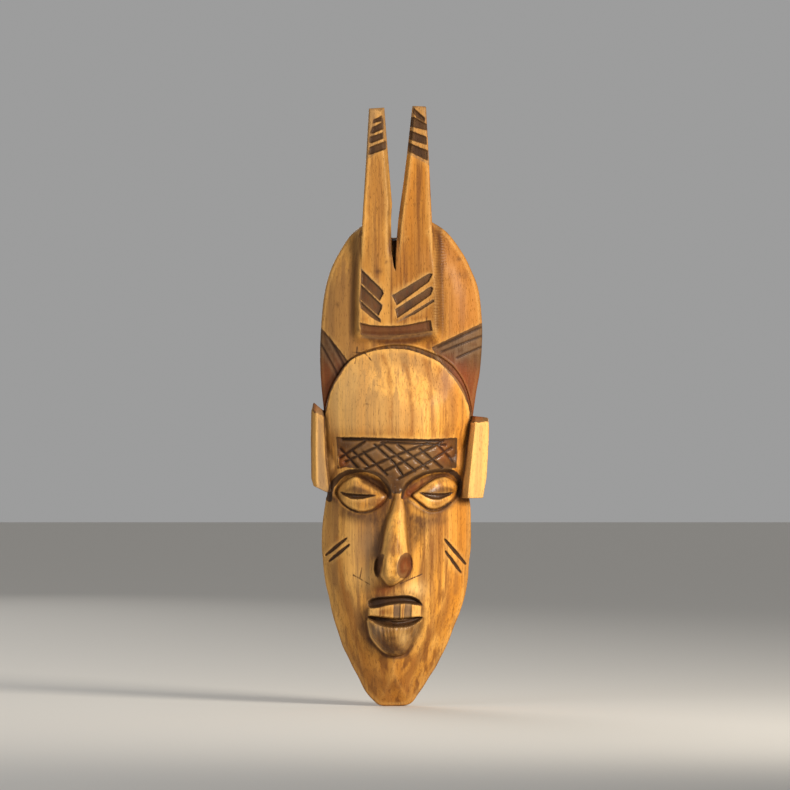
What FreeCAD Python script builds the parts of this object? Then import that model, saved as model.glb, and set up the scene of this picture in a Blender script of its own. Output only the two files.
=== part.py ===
import FreeCAD, Part

import math
import os

import Sketcher

# A carved wooden wall mask with two horns, and the D-ring hanger on its back.
#
# The wood is one block: a long convex face with a pointed chin, a domed headdress board behind
# it, a raised crest that grows into two horns, and two ears. The back is flat, with a bowl
# hollowed out behind the face and a flat-floored recess that holds the hanger.
#
# Frame: millimetres, +X to the viewer's right, +Z up, the front towards -Y. The back rim lies
# on Y = 0, the wall's plane. The origin is the wall nail that the hanger's ring hangs from.

V = FreeCAD.Vector

# Driving dimensions in millimetres. Depths are measured forward from the back plane.
DIMENSIONS = {
    # the face, section by section: height, half width and depth on the centre line
    "chin_end_z": -300, "chin_end_half": 11.5, "chin_end_depth": 13,
    "chin_z": -285, "chin_half": 22.5, "chin_depth": 21,
    "jaw_z": -262, "jaw_half": 34.5, "jaw_depth": 26,
    "mouth_z": -240, "mouth_half": 42.5, "mouth_depth": 28,
    "cheek_z": -205, "cheek_half": 49, "cheek_depth": 28,
    "eye_z": -168, "eye_half": 49, "eye_depth": 27,
    "brow_z": -140, "brow_half": 47, "brow_depth": 31,
    "forehead_z": -108, "forehead_half": 48, "forehead_depth": 32,
    "temple_z": -86, "temple_half": 43.5, "temple_depth": 31,
    "crown_z": -71, "crown_half": 31, "crown_depth": 28.5,
    "hairline_z": -61.5, "hairline_half": 12, "hairline_depth": 25,
    "face_edge": 6,
    # the headdress board behind the forehead
    "board_low_z": -108, "board_low_half": 49, "board_low_depth": 15,
    "board_side_z": -84, "board_side_half": 52.3, "board_side_depth": 17.5,
    "board_wide_z": -58, "board_wide_half": 54, "board_wide_depth": 19,
    "board_upper_z": -28, "board_upper_half": 52, "board_upper_depth": 19.5,
    "board_dome_z": -2, "board_dome_half": 43.5, "board_dome_depth": 19,
    "board_top_z": 16, "board_top_half": 30, "board_top_depth": 18,
    "board_end_z": 26, "board_end_half": 14, "board_end_depth": 16,
    "board_edge": 8, "board_centre": 2.4,
    # the crest and the horns
    "crest_half": 24, "crest_low_z": -46, "crest_high_z": 20, "crest_depth": 25.5,
    "crest_back": 4, "horn_tip_front": 21, "horn_tip_back": 8, "horn_root_back": 4,
    "left_horn_z": 98, "left_horn_out": 18.7, "left_horn_in": 8.4, "left_horn_root_in": 3.2,
    "right_horn_z": 100, "right_horn_in": 9.9, "right_horn_out": 19.8, "right_horn_root_in": -1.3,
    "fork_z": 13, "fork_half": 5, "split_z": -9.5, "split_width": 2.2, "split_depth": 8,
    "split_over": 10,
    "notch_depth": 1.6, "notch_height": 4.4, "notch_pitch": 8.2, "notch_rise": 5,
    "left_notch_z": 65, "right_notch_z": 62, "notch_over": 1,
    # the marks cut in the crest
    "chevron_depth": 1.5, "chevron_pitch": 10.3, "chevron_height": 7.5,
    "chevron_outer": 23.5, "left_chevron_inner": 10.2, "right_chevron_inner": 1.6,
    "left_chevron_z": -12, "left_chevron_drop": 14, "right_chevron_z": -14, "right_chevron_drop": 15,
    "bar_z": -47.5, "bar_height": 6.5, "bar_half": 25.5, "bar_sink": 1,
    # the ears, upright blades beside the forehead
    "ear_ridge_depth": 25, "ear_outer_depth": 20, "ear_groove_depth": 13, "ear_back_depth": 5,
    "ear_root": 44, "left_ear_ridge": 53, "left_ear_outer": 57.4, "left_ear_back": 55,
    "left_ear_z": -155.5, "left_ear_height": 55,
    "right_ear_ridge": 57, "right_ear_outer": 61.5, "right_ear_back": 57.5,
    "right_ear_z": -161.5, "right_ear_height": 53,
    # the latticed band over the eyes
    "band_half": 40.5, "band_low_z": -146, "band_height": 25.7, "band_sink": 1.2,
    "band_front": 45,
    # the eyes
    "eye_apart": 23.7, "eye_middle_z": -158.5, "socket_wide": 19, "socket_high": 14.5,
    "socket_deep": 9, "socket_centre": 30, "ball_wide": 16.5, "ball_high": 11.5,
    "ball_deep": 5.5, "ball_centre": 19.5, "slit_long": 24, "slit_high": 3, "slit_depth": 2,
    "slit_start": 1,
    # the nose
    "nose_root_z": -150, "nose_root_half": 5, "nose_root_depth": 31,
    "nose_mid_z": -182, "nose_mid_half": 9.5, "nose_mid_depth": 38,
    "nose_tip_z": -207, "nose_tip_half": 13.5, "nose_tip_depth": 45,
    "nose_end_z": -216, "nose_end_half": 9.5, "nose_end_depth": 41,
    "nose_ridge_share": 0.45, "nose_base": 20, "nose_centre": -2,
    "nostril_wide": 4.5, "nostril_high": 8.5, "nostril_deep": 5, "nostril_apart": 9,
    "nostril_z": -204.5, "nostril_centre": 39,
    # the mouth
    "mouth_middle": -1.5, "mouth_wide": 18, "lip_cut_z": -233.2, "lip_cut_high": 5.4,
    "gap_cut_z": -246.2, "gap_cut_high": 6, "mouth_cut_floor": 24, "front_reach": 20,
    "lower_lip_z": -251, "lower_lip_high": 15.5, "lower_lip_deep": 11, "lower_lip_centre": 24,
    # the scars on the cheeks
    "scar_floor": 15.5, "scar_width": 2.4, "scar_inner": 33, "scar_outer": 46,
    "scar_z": -189, "scar_drop": 12.5, "scar_pitch": 7,
    # the back: sawn flat, with a bowl behind the face and a recess for the hanger
    "back_waste": 1, "saw_past": 10,
    "bowl_chin_z": -277, "bowl_chin_half": 9, "bowl_chin_depth": 5,
    "bowl_jaw_z": -260, "bowl_jaw_half": 21, "bowl_jaw_depth": 12,
    "bowl_mouth_z": -236, "bowl_mouth_half": 30, "bowl_mouth_depth": 16,
    "bowl_cheek_z": -203, "bowl_cheek_half": 35, "bowl_cheek_depth": 18,
    "bowl_eye_z": -168, "bowl_eye_half": 35, "bowl_eye_depth": 17,
    "bowl_brow_z": -137, "bowl_brow_half": 31, "bowl_brow_depth": 17,
    "bowl_top_z": -116, "bowl_top_half": 20, "bowl_top_depth": 9,
    "bowl_lip": 1, "bowl_past": 2,
    "recess_half": 21, "recess_low_z": -50, "recess_high_z": 9, "recess_depth": 8,
    # the D-ring hanger: a wire ring, its folded strap and two pan-head screws
    "wire": 1.15, "knuckle_gap": 0.08, "sheet": 0.8, "strap_half": 5, "strap_length": 25,
    "strap_bend": 4.5, "ring_half": 8.5, "ring_corner": 2.6, "nail_radius": 1.5,
    "upper_screw_drop": 8, "lower_screw_drop": 19.5, "screw_hole": 1.7, "screw_shank": 1.6,
    "screw_length": 8, "screw_point": 3, "screw_head": 2.9, "screw_head_high": 1.5,
    "screw_slot": 0.8, "screw_slot_long": 3.6, "screw_slot_deep": 0.8,
}

# How many of each carved mark there are, and the least that a cut or an added ball must change.
CHEVRONS = 3
NOTCHES = 4
SCARS = 2
LEAST_CHANGE = 0.5

# The ring hangs from the top of the nail, so its hinge lies one ring height below that.
HINGE_Z = "( nail_radius + wire - ring_half - ring_corner )"
HINGE_DEPTH = "( recess_depth - wire - knuckle_gap - sheet )"
SHEET_TOP = "( recess_depth - 2 * sheet )"

doc = FreeCAD.newDocument("wall_mask")
sheet = doc.addObject("Spreadsheet::Sheet", "dims")
for row, (alias, number) in enumerate(DIMENSIONS.items(), start=1):
    sheet.set(f"A{row}", alias)
    sheet.set(f"B{row}", str(number))
    sheet.setAlias(f"B{row}", alias)
doc.recompute()


def cells(text):
    """The expression with each driving dimension's name read from the sheet."""
    words = text.replace("(", " ( ").replace(")", " ) ").split()
    return " ".join(f"dims.{word}" if word in DIMENSIONS else word for word in words)


def size(text):
    """The value of an expression in the driving dimensions."""
    found = sheet.evalExpression(cells(text))
    return float(getattr(found, "Value", found))


def plane_of(body, role):
    return next(f for f in body.Origin.OriginFeatures if f.Role == role)


def new_body(name):
    body = doc.addObject("PartDesign::Body", name)
    body.Label = name
    return body


def new_sketch(body, name, role, offset="0"):
    """A sketch on one of the body's own planes, moved along the plane's normal."""
    sketch = body.newObject("Sketcher::SketchObject", name)
    sketch.AttachmentSupport = [(plane_of(body, role), "")]
    sketch.MapMode = "FlatFace"
    sketch.AttachmentOffset.Base = V(0, 0, size(offset))
    sketch.setExpression(".AttachmentOffset.Base.z", cells(offset))
    return sketch


def drive(sketch, kind, geometry, point, text):
    """Fixes a point's distance from the sketch's origin to an expression."""
    index = sketch.addConstraint(Sketcher.Constraint(kind, -1, 1, geometry, point, size(text)))
    name = f"{kind}_{geometry}_{point}"
    sketch.renameConstraint(index, name)
    sketch.setExpression(f".Constraints.{name}", cells(text))


def drive_radius(sketch, geometry, text):
    index = sketch.addConstraint(Sketcher.Constraint("Radius", geometry, size(text)))
    name = f"radius_{geometry}"
    sketch.renameConstraint(index, name)
    sketch.setExpression(f".Constraints.{name}", cells(text))


def join_ends(sketch, count):
    for i in range(count):
        sketch.addConstraint(Sketcher.Constraint("Coincident", i, 2, (i + 1) % count, 1))


def polygon(sketch, corners):
    """A closed outline of straight edges through corners, each a pair of expressions."""
    points = [V(size(a), size(b), 0) for a, b in corners]
    for i, point in enumerate(points):
        sketch.addGeometry(Part.LineSegment(point, points[(i + 1) % len(points)]), False)
    join_ends(sketch, len(points))
    for i, (a, b) in enumerate(corners):
        drive(sketch, "DistanceX", i, 1, a)
        drive(sketch, "DistanceY", i, 1, b)
    return sketch


def rectangle(sketch, low_a, low_b, high_a, high_b):
    corners = [(low_a, low_b), (high_a, low_b), (high_a, high_b), (low_a, high_b)]
    return polygon(sketch, corners)


def circle(sketch, a, b, radius):
    sketch.addGeometry(Part.Circle(V(size(a), size(b), 0), V(0, 0, 1), size(radius)), False)
    drive(sketch, "DistanceX", 0, 3, a)
    drive(sketch, "DistanceY", 0, 3, b)
    drive_radius(sketch, 0, radius)
    return sketch


def domed_section(sketch, half, depth, edge, centre="0", back="0"):
    """A flat back, two short sides and an arched front: one slice of a convex carving."""
    w, d, e, c, b = size(half), size(depth), size(edge), size(centre), size(back)
    corners = [V(c - w, b, 0), V(c + w, b, 0), V(c + w, -e, 0), V(c - w, -e, 0)]
    radius = (w * w + (d - e) ** 2) / (2 * (d - e))
    middle = V(c, radius - d, 0)
    swing = math.asin(w / radius)
    arch = Part.ArcOfCircle(Part.Circle(middle, V(0, 0, 1), radius),
                            1.5 * math.pi - swing, 1.5 * math.pi + swing)
    sketch.addGeometry(Part.LineSegment(corners[0], corners[1]), False)
    sketch.addGeometry(Part.LineSegment(corners[1], corners[2]), False)
    sketch.addGeometry(arch, False)
    sketch.addGeometry(Part.LineSegment(corners[3], corners[0]), False)
    sketch.addGeometry(Part.Point(V(c, -d, 0)), True)
    # The arch runs from the left side to the right one.
    for first, end, second, start in ((0, 2, 1, 1), (1, 2, 2, 2), (2, 1, 3, 1), (3, 2, 0, 1)):
        sketch.addConstraint(Sketcher.Constraint("Coincident", first, end, second, start))
    sketch.addConstraint(Sketcher.Constraint("PointOnObject", 4, 1, 2))
    for line, x in ((0, f"{centre} - {half}"), (1, f"{centre} + {half}")):
        drive(sketch, "DistanceX", line, 1, x)
        drive(sketch, "DistanceY", line, 1, back)
    for line, point, x in ((1, 2, f"{centre} + {half}"), (3, 1, f"{centre} - {half}")):
        drive(sketch, "DistanceX", line, point, x)
        drive(sketch, "DistanceY", line, point, f"0 - {edge}")
    drive(sketch, "DistanceX", 4, 1, centre)
    drive(sketch, "DistanceY", 4, 1, f"0 - {depth}")
    return sketch


def loft(body, name, sections, ruled=False, kind="AdditiveLoft"):
    made = body.newObject(f"PartDesign::{kind}", name)
    made.Profile = sections[0]
    made.Sections = sections[1:]
    made.Ruled = ruled
    return made


def pad(body, name, sketch, length):
    """Grows a solid along the sketch's normal."""
    made = body.newObject("PartDesign::Pad", name)
    made.Profile = sketch
    made.setExpression("Length", cells(length))
    return made


def volume(body):
    doc.recompute()
    return body.Shape.Volume


def pocket(body, name, sketch, length, into_normal=False):
    """Cuts against the sketch's normal, or along it, and stops if nothing was cut."""
    before = volume(body)
    made = body.newObject("PartDesign::Pocket", name)
    made.Profile = sketch
    made.Reversed = into_normal
    made.setExpression("Length", cells(length))
    if volume(body) > before - LEAST_CHANGE:
        raise RuntimeError(f"{name} cuts nothing")
    return made


def ellipsoid(body, name, kind, centre, radii):
    """A ball with its own radius along X, Y and Z, added to the body or cut from it."""
    before = volume(body)
    made = body.newObject(f"PartDesign::{kind}Ellipsoid", name)
    made.AttachmentSupport = [(plane_of(body, "XY_Plane"), "")]
    made.MapMode = "FlatFace"
    # A quarter turn about Z keeps the surface's seam off the flat back.
    made.AttachmentOffset.Rotation = FreeCAD.Rotation(V(0, 0, 1), 90)
    for axis, text in zip("xyz", centre):
        made.setExpression(f".AttachmentOffset.Base.{axis}", cells(text))
    # With that turn Radius2 lies along Y, Radius3 along X and Radius1 along Z.
    for prop, text in zip(("Radius3", "Radius2", "Radius1"), radii):
        made.setExpression(prop, cells(text))
    change = volume(body) - before
    if change * (1 if kind == "Additive" else -1) < LEAST_CHANGE:
        raise RuntimeError(f"{name} changes nothing")
    return made


def carve_face(body):
    levels = ["chin_end", "chin", "jaw", "mouth", "cheek", "eye", "brow", "forehead",
              "temple", "crown", "hairline"]
    sections = []
    for level in levels:
        sketch = new_sketch(body, f"face_{level}", "XY_Plane", f"{level}_z")
        sections.append(domed_section(sketch, f"{level}_half", f"{level}_depth", "face_edge",
                                      back="back_waste"))
    loft(body, "face", sections)


def carve_board(body):
    sections = []
    for level in ("low", "side", "wide", "upper", "dome", "top", "end"):
        sketch = new_sketch(body, f"board_{level}", "XY_Plane", f"board_{level}_z")
        sections.append(domed_section(sketch, f"board_{level}_half", f"board_{level}_depth",
                                      "board_edge", "board_centre", "back_waste"))
    loft(body, "headdress", sections)


def carve_crest(body):
    sketch = new_sketch(body, "crest_outline", "XZ_Plane", "crest_back")
    rectangle(sketch, "0 - crest_half", "crest_low_z", "crest_half", "crest_high_z")
    pad(body, "crest", sketch, "crest_depth - crest_back")


def open_fork(body):
    """Saws right through the crest and the board, where the gap between the horns will be."""
    sketch = new_sketch(body, "fork_outline", "XZ_Plane", "crest_depth")
    rectangle(sketch, "0 - fork_half", "fork_z", "fork_half", "board_end_z + saw_past")
    pocket(body, "fork", sketch, "crest_depth + back_waste")


def carve_horns(body):
    for side, sign in (("left", "0 - "), ("right", "")):
        root_in = "0 - left_horn_root_in" if side == "left" else "right_horn_root_in"
        root_out = "0 - crest_half" if side == "left" else "crest_half"
        root = new_sketch(body, f"{side}_horn_root", "XY_Plane", "fork_z")
        tip = new_sketch(body, f"{side}_horn_tip", "XY_Plane", f"{side}_horn_z")
        ends = ((root, root_in, root_out, "horn_root_back", "crest_depth"),
                (tip, f"{sign}{side}_horn_in", f"{sign}{side}_horn_out", "horn_tip_back",
                 "horn_tip_front"))
        for sketch, inner, out, back, front in ends:
            low, high = (out, inner) if side == "left" else (inner, out)
            rectangle(sketch, low, f"0 - {front}", high, f"0 - {back}")
        loft(body, f"{side}_horn", [root, tip], ruled=True)


def cut_split(body):
    """The narrow crack that runs on below the fork between the horns."""
    sketch = new_sketch(body, "split_outline", "XZ_Plane", "crest_depth")
    rectangle(sketch, "0 - left_horn_root_in", "split_z",
              "0 - left_horn_root_in + split_width", "fork_z + split_over")
    pocket(body, "split", sketch, "split_depth")


def carve_ears(body):
    for side, sign in (("left", "0 - "), ("right", "")):
        sketch = new_sketch(body, f"{side}_ear_section", "XY_Plane", f"{side}_ear_z")
        across = ["ear_root", f"{side}_ear_ridge", f"{side}_ear_outer", f"{side}_ear_back",
                  "ear_root"]
        deep = ["ear_groove_depth", "ear_ridge_depth", "ear_outer_depth", "ear_back_depth",
                "ear_back_depth"]
        polygon(sketch, [(f"{sign}{x}", f"0 - {y}") for x, y in zip(across, deep)])
        pad(body, f"{side}_ear", sketch, f"{side}_ear_height")


def carve_nose(body):
    sections = []
    for level in ("root", "mid", "tip", "end"):
        sketch = new_sketch(body, f"nose_{level}_section", "XY_Plane", f"nose_{level}_z")
        half, ridge = f"nose_{level}_half", f"nose_{level}_half * nose_ridge_share"
        polygon(sketch, [(f"nose_centre - {half}", "0 - nose_base"),
                         (f"nose_centre - {ridge}", f"0 - nose_{level}_depth"),
                         (f"nose_centre + {ridge}", f"0 - nose_{level}_depth"),
                         (f"nose_centre + {half}", "0 - nose_base")])
        sections.append(sketch)
    loft(body, "nose", sections, ruled=True)
    for side, sign in (("left", "-"), ("right", "+")):
        ellipsoid(body, f"{side}_nostril", "Subtractive",
                  (f"nose_centre {sign} nostril_apart", "0 - nostril_centre", "nostril_z"),
                  ("nostril_wide", "nostril_deep", "nostril_high"))


def carve_eyes(body):
    for side, sign in (("left", "0 - "), ("right", "")):
        ellipsoid(body, f"{side}_socket", "Subtractive",
                  (f"{sign}eye_apart", "0 - socket_centre", "eye_middle_z"),
                  ("socket_wide", "socket_deep", "socket_high"))
    for side, sign in (("left", "0 - "), ("right", "")):
        ellipsoid(body, f"{side}_eye", "Additive",
                  (f"{sign}eye_apart", "0 - ball_centre", "eye_middle_z"),
                  ("ball_wide", "ball_deep", "ball_high"))
        slit = new_sketch(body, f"{side}_slit_outline", "XZ_Plane",
                          "ball_centre + ball_deep + slit_start")
        rectangle(slit, f"{sign}eye_apart - slit_long / 2", "eye_middle_z - slit_high / 2",
                  f"{sign}eye_apart + slit_long / 2", "eye_middle_z + slit_high / 2")
        pocket(body, f"{side}_slit", slit, "slit_depth + slit_start")


def cut_band(body):
    """Sinks the latticed band a little below the forehead, along the forehead's own arch."""
    sketch = new_sketch(body, "band_section", "XY_Plane", "band_low_z")
    half, depth = size("brow_half - band_sink"), size("brow_depth - band_sink")
    edge = size("face_edge")
    radius = (half ** 2 + (depth - edge) ** 2) / (2 * (depth - edge))
    swing = math.asin(size("band_half") / radius)
    arch = Part.ArcOfCircle(Part.Circle(V(0, radius - depth, 0), V(0, 0, 1), radius),
                            1.5 * math.pi - swing, 1.5 * math.pi + swing)
    front = -size("band_front")
    left, right = arch.StartPoint, arch.EndPoint
    sketch.addGeometry(arch, False)
    sketch.addGeometry(Part.LineSegment(right, V(right.x, front, 0)), False)
    sketch.addGeometry(Part.LineSegment(V(right.x, front, 0), V(left.x, front, 0)), False)
    sketch.addGeometry(Part.LineSegment(V(left.x, front, 0), left), False)
    sketch.addGeometry(Part.Point(V(0, -depth, 0)), True)
    sketch.addGeometry(Part.Point(V(half, -edge, 0)), True)
    join_ends(sketch, 4)
    for point in (4, 5):
        sketch.addConstraint(Sketcher.Constraint("PointOnObject", point, 1, 0))
    sketch.addConstraint(Sketcher.Constraint("Symmetric", 0, 1, 0, 2, -2))
    for geometry, point, x in ((0, 2, "band_half"), (2, 1, "band_half"), (2, 2, "0 - band_half"),
                               (4, 1, "0"), (5, 1, "brow_half - band_sink")):
        drive(sketch, "DistanceX", geometry, point, x)
    for geometry, point, y in ((2, 1, "0 - band_front"), (2, 2, "0 - band_front"),
                               (4, 1, "0 - (brow_depth - band_sink)"), (5, 1, "0 - face_edge")):
        drive(sketch, "DistanceY", geometry, point, y)
    pocket(body, "band", sketch, "band_height", into_normal=True)


def cut_crest_marks(body):
    """The chevrons, the lowest on each side half as high, and the bar that ends the crest."""
    for side, sign in (("left", "0 - "), ("right", "")):
        for i in range(CHEVRONS):
            sketch = new_sketch(body, f"{side}_chevron_{i + 1}_outline", "XZ_Plane",
                                "crest_depth")
            top = f"{side}_chevron_z - {i} * chevron_pitch"
            low = f"{top} - {side}_chevron_drop"
            high = "chevron_height" if i < CHEVRONS - 1 else "chevron_height / 2"
            outer, inner = f"{sign}chevron_outer", f"{sign}{side}_chevron_inner"
            polygon(sketch, [(outer, top), (inner, low), (inner, f"{low} + {high}"),
                             (outer, f"{top} + {high}")])
            pocket(body, f"{side}_chevron_{i + 1}", sketch, "chevron_depth")
    sketch = new_sketch(body, "bar_outline", "XZ_Plane", "crest_depth")
    rectangle(sketch, "0 - bar_half", "bar_z - bar_height / 2", "bar_half", "bar_z + bar_height / 2")
    pocket(body, "bar", sketch, "crest_depth - board_wide_depth + bar_sink")


def cut_horn_notches(body):
    """A row of slanting notches across the front of each horn's tip."""
    for side, sign, rise in (("left", "0 - ", "notch_rise"), ("right", "", "0 - notch_rise")):
        first = new_sketch(body, f"{side}_notch_outline", "XZ_Plane", "crest_depth")
        low = f"{side}_notch_z"
        inner, outer = f"{sign}{side}_horn_in", f"{sign}{side}_horn_out"
        a, b = (outer, inner) if side == "left" else (inner, outer)
        a, b = f"{a} - notch_over", f"{b} + notch_over"
        polygon(first, [(a, low), (b, f"{low} + {rise}"),
                        (b, f"{low} + {rise} + notch_height"), (a, f"{low} + notch_height")])
        cut = pocket(body, f"{side}_notch", first, "crest_depth - horn_tip_front + notch_depth")
        row = body.newObject("PartDesign::LinearPattern", f"{side}_notches")
        row.Originals = [cut]
        row.Direction = (plane_of(body, "Z_Axis"), [""])
        row.Occurrences = NOTCHES
        row.setExpression("Length", cells(f"{NOTCHES - 1} * notch_pitch"))
        body.Tip = row
        doc.recompute()


def carve_mouth(body):
    ellipsoid(body, "lower_lip", "Additive", ("mouth_middle", "0 - lower_lip_centre", "lower_lip_z"),
              ("mouth_wide", "lower_lip_deep", "lower_lip_high"))
    for name in ("lip_cut", "gap_cut"):
        sketch = new_sketch(body, f"{name}_outline", "XZ_Plane", "mouth_cut_floor")
        rectangle(sketch, "mouth_middle - mouth_wide", f"{name}_z",
                  "mouth_middle + mouth_wide", f"{name}_z + {name}_high")
        pocket(body, name, sketch, "front_reach", into_normal=True)


def cut_scars(body):
    for side, sign in (("left", "0 - "), ("right", "")):
        for i in range(SCARS):
            sketch = new_sketch(body, f"{side}_scar_{i + 1}_outline", "XZ_Plane", "scar_floor")
            top = f"scar_z - {i} * scar_pitch"
            low = f"{top} - scar_drop"
            inner, outer = f"{sign}scar_inner", f"{sign}scar_outer"
            polygon(sketch, [(inner, top), (outer, low), (outer, f"{low} - scar_width"),
                             (inner, f"{top} - scar_width")])
            pocket(body, f"{side}_scar_{i + 1}", sketch, "front_reach", into_normal=True)


def saw_back_flat(body):
    """Takes off the waste behind the back plane, which leaves one true plane."""
    sketch = new_sketch(body, "back_outline", "XZ_Plane")
    rectangle(sketch, "0 - board_wide_half - saw_past", "chin_end_z - saw_past",
              "board_wide_half + saw_past", "board_end_z + saw_past")
    pocket(body, "flat_back", sketch, "2 * back_waste")


def hollow_face(body):
    """A bowl that follows the face from the chin to the forehead and opens through the back."""
    sections = []
    for level in ("chin", "jaw", "mouth", "cheek", "eye", "brow", "top"):
        sketch = new_sketch(body, f"bowl_{level}", "XY_Plane", f"bowl_{level}_z")
        sections.append(domed_section(sketch, f"bowl_{level}_half", f"bowl_{level}_depth",
                                      "bowl_lip", back="bowl_past"))
    before = volume(body)
    loft(body, "bowl", sections, kind="SubtractiveLoft")
    if volume(body) > before - LEAST_CHANGE:
        raise RuntimeError("the bowl isn't cut")


def cut_recess(body):
    sketch = new_sketch(body, "recess_outline", "XZ_Plane")
    rectangle(sketch, "0 - recess_half", "recess_low_z", "recess_half", "recess_high_z")
    pocket(body, "recess", sketch, "recess_depth", into_normal=True)
    for place in ("upper", "lower"):
        hole = new_sketch(body, f"{place}_pilot_outline", "XZ_Plane", "recess_depth")
        circle(hole, "0", f"{HINGE_Z} - {place}_screw_drop", "screw_hole")
        pocket(body, f"{place}_pilot_hole", hole, "screw_length", into_normal=True)


def make_carving():
    body = new_body("mask_carving")
    for step in (carve_board, carve_face, carve_crest, saw_back_flat, hollow_face, cut_recess,
                 open_fork, carve_horns, carve_ears, carve_eyes, carve_nose, carve_mouth, cut_band,
                 cut_split, cut_crest_marks, cut_horn_notches, cut_scars):
        step(body)
    return body


def make_strap():
    """A strip folded round the ring's bar, both layers lying together under the screws."""
    body = new_body("hanger_strap")
    knuckle = new_sketch(body, "knuckle_section", "YZ_Plane", "0 - strap_half")
    circle(knuckle, f"0 - {HINGE_DEPTH}", HINGE_Z, "wire + knuckle_gap + sheet")
    pad(body, "knuckle", knuckle, "2 * strap_half")
    layers = new_sketch(body, "layers_section", "YZ_Plane", "0 - strap_half")
    inner = f"( {HINGE_DEPTH} - wire - knuckle_gap )"
    outer = f"( {inner} - sheet )"
    polygon(layers, [("0 - recess_depth", HINGE_Z),
                     ("0 - recess_depth", f"{HINGE_Z} - strap_length"),
                     (f"0 - {SHEET_TOP}", f"{HINGE_Z} - strap_length"),
                     (f"0 - {SHEET_TOP}", f"{HINGE_Z} - strap_bend"),
                     (f"0 - {outer}", HINGE_Z)])
    pad(body, "layers", layers, "2 * strap_half")
    bore = new_sketch(body, "bore_section", "YZ_Plane", "0 - strap_half")
    circle(bore, f"0 - {HINGE_DEPTH}", HINGE_Z, "wire + knuckle_gap")
    pocket(body, "bore", bore, "2 * strap_half", into_normal=True)
    for place in ("upper", "lower"):
        hole = new_sketch(body, f"{place}_hole_outline", "XZ_Plane")
        circle(hole, "0", f"{HINGE_Z} - {place}_screw_drop", "screw_hole")
        pocket(body, f"{place}_hole", hole, "recess_depth", into_normal=True)
    return body


def make_ring():
    """A bent wire D: a straight bar in the knuckle, two small corners and a half-round top."""
    body = new_body("hanger_ring")
    path = new_sketch(body, "ring_path", "XZ_Plane", HINGE_DEPTH)
    z, half, corner = size(HINGE_Z), size("ring_half"), size("ring_corner")
    bar, top = half - corner, z + corner
    quarter = 0.5 * math.pi
    up = V(0, 0, 1)
    path.addGeometry(Part.LineSegment(V(-bar, z, 0), V(bar, z, 0)), False)
    for middle, radius, begin, end in ((bar, corner, -quarter, 0), (0, half, 0, math.pi),
                                       (-bar, corner, math.pi, 3 * quarter)):
        turn = Part.Circle(V(middle, top, 0), up, radius)
        path.addGeometry(Part.ArcOfCircle(turn, begin, end), False)
    for edge in range(4):
        path.addConstraint(Sketcher.Constraint("Tangent", edge, 2, (edge + 1) % 4, 1))
    for point, x in ((1, "0 - (ring_half - ring_corner)"), (2, "ring_half - ring_corner")):
        drive(path, "DistanceX", 0, point, x)
        drive(path, "DistanceY", 0, point, HINGE_Z)
    for arc in (1, 3):
        drive_radius(path, arc, "ring_corner")
    drive(path, "DistanceY", 2, 3, f"{HINGE_Z} + ring_corner")
    wire = new_sketch(body, "wire_section", "YZ_Plane", "0 - (ring_half - ring_corner)")
    circle(wire, f"0 - {HINGE_DEPTH}", HINGE_Z, "wire")
    ring = body.newObject("PartDesign::AdditivePipe", "ring")
    ring.Profile = wire
    ring.Spine = path
    return body


def make_screw(place):
    """A pan-head wood screw through the strap, with a slot across its head."""
    body = new_body(f"hanger_screw_{place}")
    centre_z = f"{HINGE_Z} - {place}_screw_drop"
    under = SHEET_TOP
    section = new_sketch(body, f"{place}_screw_section", "YZ_Plane")
    corners = [(f"0 - ({under} - screw_head_high)", "0"),
               (f"0 - ({under} - screw_head_high)", "screw_head * 0.75"),
               (f"0 - ({under} - screw_head_high / 2)", "screw_head"),
               (f"0 - {under}", "screw_head"),
               (f"0 - {under}", "screw_shank"),
               (f"0 - ({under} + screw_length - screw_point)", "screw_shank"),
               (f"0 - ({under} + screw_length)", "0")]
    polygon(section, [(y, f"{centre_z} + {r}") for y, r in corners])
    turned = body.newObject("PartDesign::Revolution", f"{place}_screw")
    front, point = (V(size(corners[i][0]), size(centre_z), 0) for i in (0, -1))
    axis = Part.LineSegment(front, point)
    section.addGeometry(axis, True)
    last = section.GeometryCount - 1
    section.addConstraint(Sketcher.Constraint("Coincident", last, 1, 0, 1))
    section.addConstraint(Sketcher.Constraint("Coincident", last, 2, len(corners) - 1, 1))
    turned.Profile = section
    turned.ReferenceAxis = (section, ["Axis0"])
    turned.Angle = 360
    slot = new_sketch(body, f"{place}_slot_outline", "XZ_Plane", f"{under} - screw_head_high")
    rectangle(slot, "0 - screw_slot_long / 2", f"{centre_z} - screw_slot / 2",
              "screw_slot_long / 2", f"{centre_z} + screw_slot / 2")
    pocket(body, f"{place}_slot", slot, "screw_slot_deep", into_normal=True)
    return body


bodies = [make_carving(), make_strap(), make_ring(), make_screw("upper"), make_screw("lower")]
doc.recompute()
for thing in doc.Objects:
    if {"Invalid", "Error"} & set(thing.State):
        raise RuntimeError(f"{thing.Label} failed: {thing.State}")
for body in bodies:
    if body.Shape.isNull() or not body.Shape.isValid() or len(body.Shape.Solids) != 1:
        raise RuntimeError(f"{body.Label} isn't one valid solid")

os.makedirs("parts", exist_ok=True)
for body in bodies:
    body.Shape.exportStep(f"parts/{body.Label}.step")
    print(f"{body.Label}: {body.Shape.Volume / 1000:.2f} cm3")
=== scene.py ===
import math

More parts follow.
